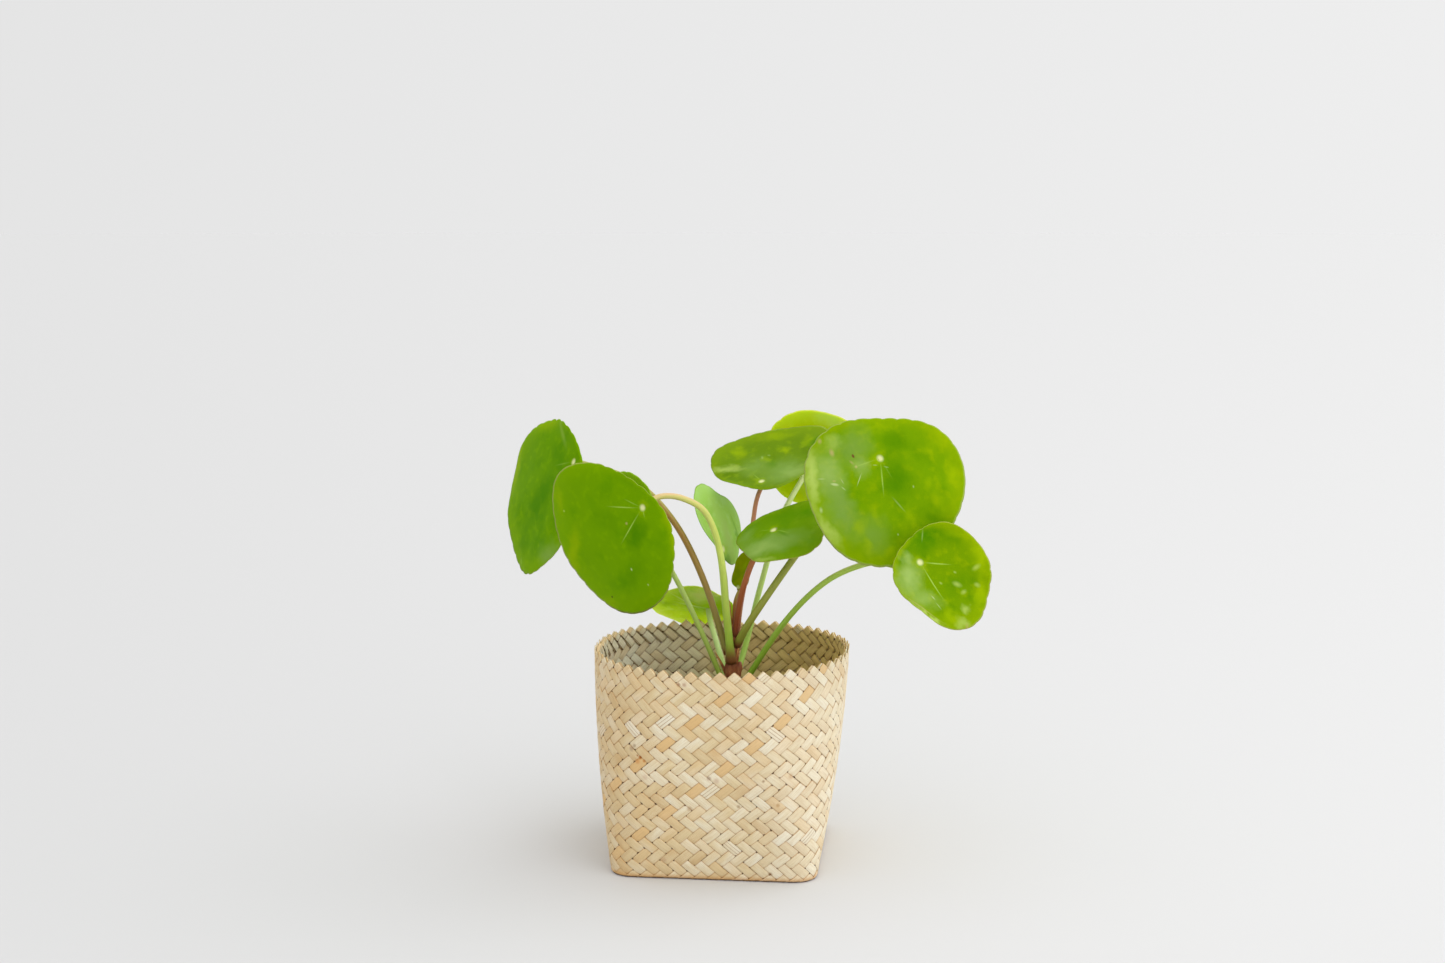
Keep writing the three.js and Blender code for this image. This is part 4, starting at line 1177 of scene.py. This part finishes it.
def make_stalk(leaf, material):
    facing, _, _ = leaf_axes(leaf)
    foot_radius, top_radius = leaf["stalk"]
    navel = Vector(leaf["navel"])
    end = navel - facing * (BLADE_HALF_THICKNESS + top_radius + STALK_GAP)
    route = [*leaf["route"], tuple(end), tuple(navel - facing * 0.3)]

    foot_swell = FOOT_SWELLS.get(leaf["name"], PLAIN_FOOT_SWELL)

    def stalk_radius(share, turn):
        swollen = foot_swell * math.exp(-(share / 0.05) ** 2)
        swollen += TOP_SWELL * math.exp(-((1 - share) / 0.04) ** 2)
        return (foot_radius + (top_radius - foot_radius) * share) * (1 + swollen * 0.6)

    bm = bmesh.new()
    layer = bm.verts.layers.float_vector.new("way")
    add_rod(bm, route, *STALK_GRID, stalk_radius, layer)
    return finished(bm, "petiole_" + leaf["name"], "stalk_" + leaf["name"], material)


def leaf_tissue_group():
    """A blade's greens, roughness and relief over its own millimetres: slow patches of a deeper
    and of a yellower green, yellower towards the margin, and a fine grain."""
    group, entry, leave = new_group(
        "leaf_tissue",
        {"Place": "Vector", "Share": "Float", "Green": "Color", "Deep": "Color",
         "Yellow": "Color"},
        {"Color": "Color", "Roughness": "Float", "Height": "Float"})
    cloud = entry("Place").noise(0.075)
    drift = entry("Place").noise(0.21)
    cells = entry("Place").noise(1.4, 2.0, 0.6)
    tissue = cloud.eased(0.5, 0.3, 0.0, 0.6).blend(entry("Green"), entry("Deep"))
    for yellower in (drift.eased(0.5, 0.75, 0.0, 0.45),
                     entry("Share").eased(0.72, 0.97, 0.0, 0.45),
                     cells.eased(0.4, 0.7, 0.0, 0.12)):
        tissue = yellower.blend(tissue, entry("Yellow"))
    tissue.to(leave["Color"])
    cells.eased(0.3, 0.7, 0.4, 0.55).to(leave["Roughness"])
    cells.to(leave["Height"])
    return group


def leaf_material(leaf, tissue, spot):
    """A blade's own greens, marks and veins. The attribute blade holds the way from the navel
    along the tip's way and aside from it, in millimetres, and the share of the way to the
    margin."""
    name = leaf["name"]
    backlit = name in BACKLIT_LEAVES
    material, tree, shader = new_material(
        "blade_" + name, Specular_IOR_Level=0.01, Subsurface_Radius=(0.6, 1.0, 0.15),
        Subsurface_Weight=0.6 if backlit else 0.12, Subsurface_Scale=0.002 if backlit else 0.001)
    p, q, share = attribute(tree, "blade").split()
    flat = p.through("CombineXYZ", {0: p, 1: q})
    own = flat.vector("ADD", (0, 0, leaf["navel"][0] * 7.3))
    green, deep, yellow, margin = LEAF_COLOURS[name]
    look = add_node(tree, "Group", {
        "Place": own, "Share": share, "Green": colour(*green), "Deep": colour(*deep),
        "Yellow": colour(*yellow)}, node_tree=tissue).outputs
    wander = own.through("TexNoise", {"Vector": own, "Scale": 0.16, "Detail": 2.0}, "Color")
    strayed = flat.vector("ADD", wander.vector("SUBTRACT", (0.5, 0.5, 0.5)).stretched(9, 9, 0))

    def marked(under, tint, way, aside, half_length, half_width, turn, strength, softness=1):
        place = strayed if min(half_length, half_width) > LARGE_MARK else flat
        return spotted(spot, under, MARK_TINTS[tint], place, (way, aside, 0), half_length,
                       half_width, turn, strength, softness)

    shade = Wire(look["Color"])
    for tint, *marks in LEAF_MARKS[name]:
        for mark in marks:
            shade = marked(shade, tint, *mark)
    for turn, length, strength in LEAF_VEINS[name]:
        way = math.cos(math.radians(turn)) * length / 2
        aside = math.sin(math.radians(turn)) * length / 2
        shade = marked(shade, "vein", way, aside, length / 2, VEIN_HALF_WIDTH, turn, strength)
    # Backlit blades keep, on the underside, their colours brightened with painted light shining
    # through, and take a plain green on the upper face; the other blades' undersides pale to a
    # lighter green of their own.
    upward = coordinate(tree, "Normal").vector("DOT_PRODUCT", leaf_axes(leaf)[0], "Value")
    if backlit:
        shade = upward.eased(-0.1, 0.1, 0.0, 0.85).blend(shade, TOP_GREEN)
    else:
        shade = upward.eased(0.1, -0.1, 0.0, 0.45).blend(shade, UNDERSIDE)
    shade = marked(shade, "yellow", 0, 0, 5, 5, 0, 0.5)
    shade = marked(shade, "cream", 0, 0, 2.5, 2.2, 30, 0.95, 0.75)
    share.eased(0.975, 0.995, 0.0, 0.6).blend(shade, margin).to(shader["Base Color"])
    Wire(look["Roughness"]).to(shader["Roughness"])
    relief(shader, Wire(look["Height"]), 0.2, 0.0002)
    return material


def stalk_material(leaf):
    """A stalk's colours along its way and on its upper side. The attribute way holds the share
    of the way, the way in millimetres and the turn round the stalk."""
    foot, middle, top, upper = STALK_COLOURS[leaf["name"]]
    material, tree, shader = new_material(
        "petiole_" + leaf["name"], Roughness=0.42, Specular_IOR_Level=0.35,
        Subsurface_Weight=0.12, Subsurface_Radius=(0.8, 1.0, 0.3), Subsurface_Scale=0.001)
    way = attribute(tree, "way")
    share, reach, _ = way.split()
    rise = coordinate(tree, "Normal").split()[2]
    # partly the stalk's own flush and partly painted light from above: upward-facing sides take
    # the upper colour
    upper_flush_and_painted_light = rise.eased(0.1, 0.7) * share.eased(0.2, 0.7) * 0.8
    lit = upper_flush_and_painted_light.blend(share.ramp((0.05, foot), (0.5, middle), (0.95, top)), upper)
    streak = way.stretched(3.0, 0.05, 1.6).noise(2.0, 3.0).eased(0.35, 0.7, 0.0, 0.25)
    collar = COLLAR_LENGTHS.get(leaf["name"], PLAIN_COLLAR_LENGTH)
    browned = reach.eased(collar, 0.15 * collar, 0.0, 0.95)
    browned.blend(streak.blend(lit, foot), COLLAR).to(shader["Base Color"])
    return material


def make_leaves(spot):
    tissue = leaf_tissue_group()
    for leaf in LEAVES:
        make_blade(leaf, leaf_material(leaf, tissue, spot))
        make_stalk(leaf, stalk_material(leaf))


# ---------------------------------------------------------------- studio

FLOOR_RADIUS = 30           # in metres
FLOOR_COLOUR = (212, 212, 212)
FLOOR_SLOPE_REACH = 0.5     # how far out the floor takes on half of the air's slope, in metres
AIR_LIGHT = 0.83            # light from all around
AIR_SLOPE = 0.11            # how much brighter the air is to the right than straight ahead
CEILING_LIGHT = 0.35        # how much brighter the air is overhead
# Far soft lights: the way to each, how much light falls on a face turned to it, as a share of
# full white, and how broad it is in degrees.
FAR_LIGHTS = {
    "window_right": ((0.88, 0.00, 0.42), 0.36, 110),
    "front_fill": ((0.10, -0.85, 0.50), 0.05, 90),
}


def studio_paper_material():
    material, tree, shader = new_material("studio_paper", Roughness=1, Specular_IOR_Level=0)
    place = coordinate(tree, "Object")
    reach = place.vector("LENGTH", output="Value")
    # painted light: the floor's colour grows brighter towards the right, as the air does, so its
    # far edge matches the air
    rightward = place.split()[0] / (reach + FLOOR_SLOPE_REACH)
    lift = rightward * (AIR_SLOPE / AIR_LIGHT) + 1.0
    lift.through("VectorMath", {0: colour(*FLOOR_COLOUR)[:3], 3: lift},
                 operation="SCALE").to(shader["Base Color"])
    return material


def make_stage():
    """A wide pale floor, as bright as the air behind it, so no line shows between them."""
    bm = bmesh.new()
    bmesh.ops.create_circle(bm, cap_ends=True, segments=96, radius=FLOOR_RADIUS)
    bmesh.ops.recalc_face_normals(bm, faces=bm.faces)
    floor = placed("studio_floor", mesh_of(bm, "studio_floor", studio_paper_material()))


def make_lights():
    world = bpy.data.worlds.new("studio_air")
    world.use_nodes = True
    air = world.node_tree
    rightward, _, upward = coordinate(air, "Generated").split()
    level_light = rightward * AIR_SLOPE + AIR_LIGHT
    strength = upward.eased(0.25, 0.9, 0.0, CEILING_LIGHT) + level_light
    background = air.nodes["Background"].inputs
    strength.to(background["Strength"])
    background["Color"].default_value = (1, 1, 1, 1)
    bpy.context.scene.world = world
    for name, (way, share, breadth) in FAR_LIGHTS.items():
        data = bpy.data.lights.new(name, "SUN")
        data.energy = share * math.pi
        data.angle = math.radians(breadth)
        light = placed(name, data)
        light.rotation_euler = Vector(way).to_track_quat("Z", "Y").to_euler()
    bpy.context.scene.view_settings.view_transform = "Standard"
    bpy.context.scene.view_settings.look = "None"


make_camera()
soft_spot = soft_spot_group()
make_basket(soft_spot)
make_pot()
make_soil()
make_trunk()
make_leaves(soft_spot)
make_stage()
make_lights()

bpy.context.view_layer.update()
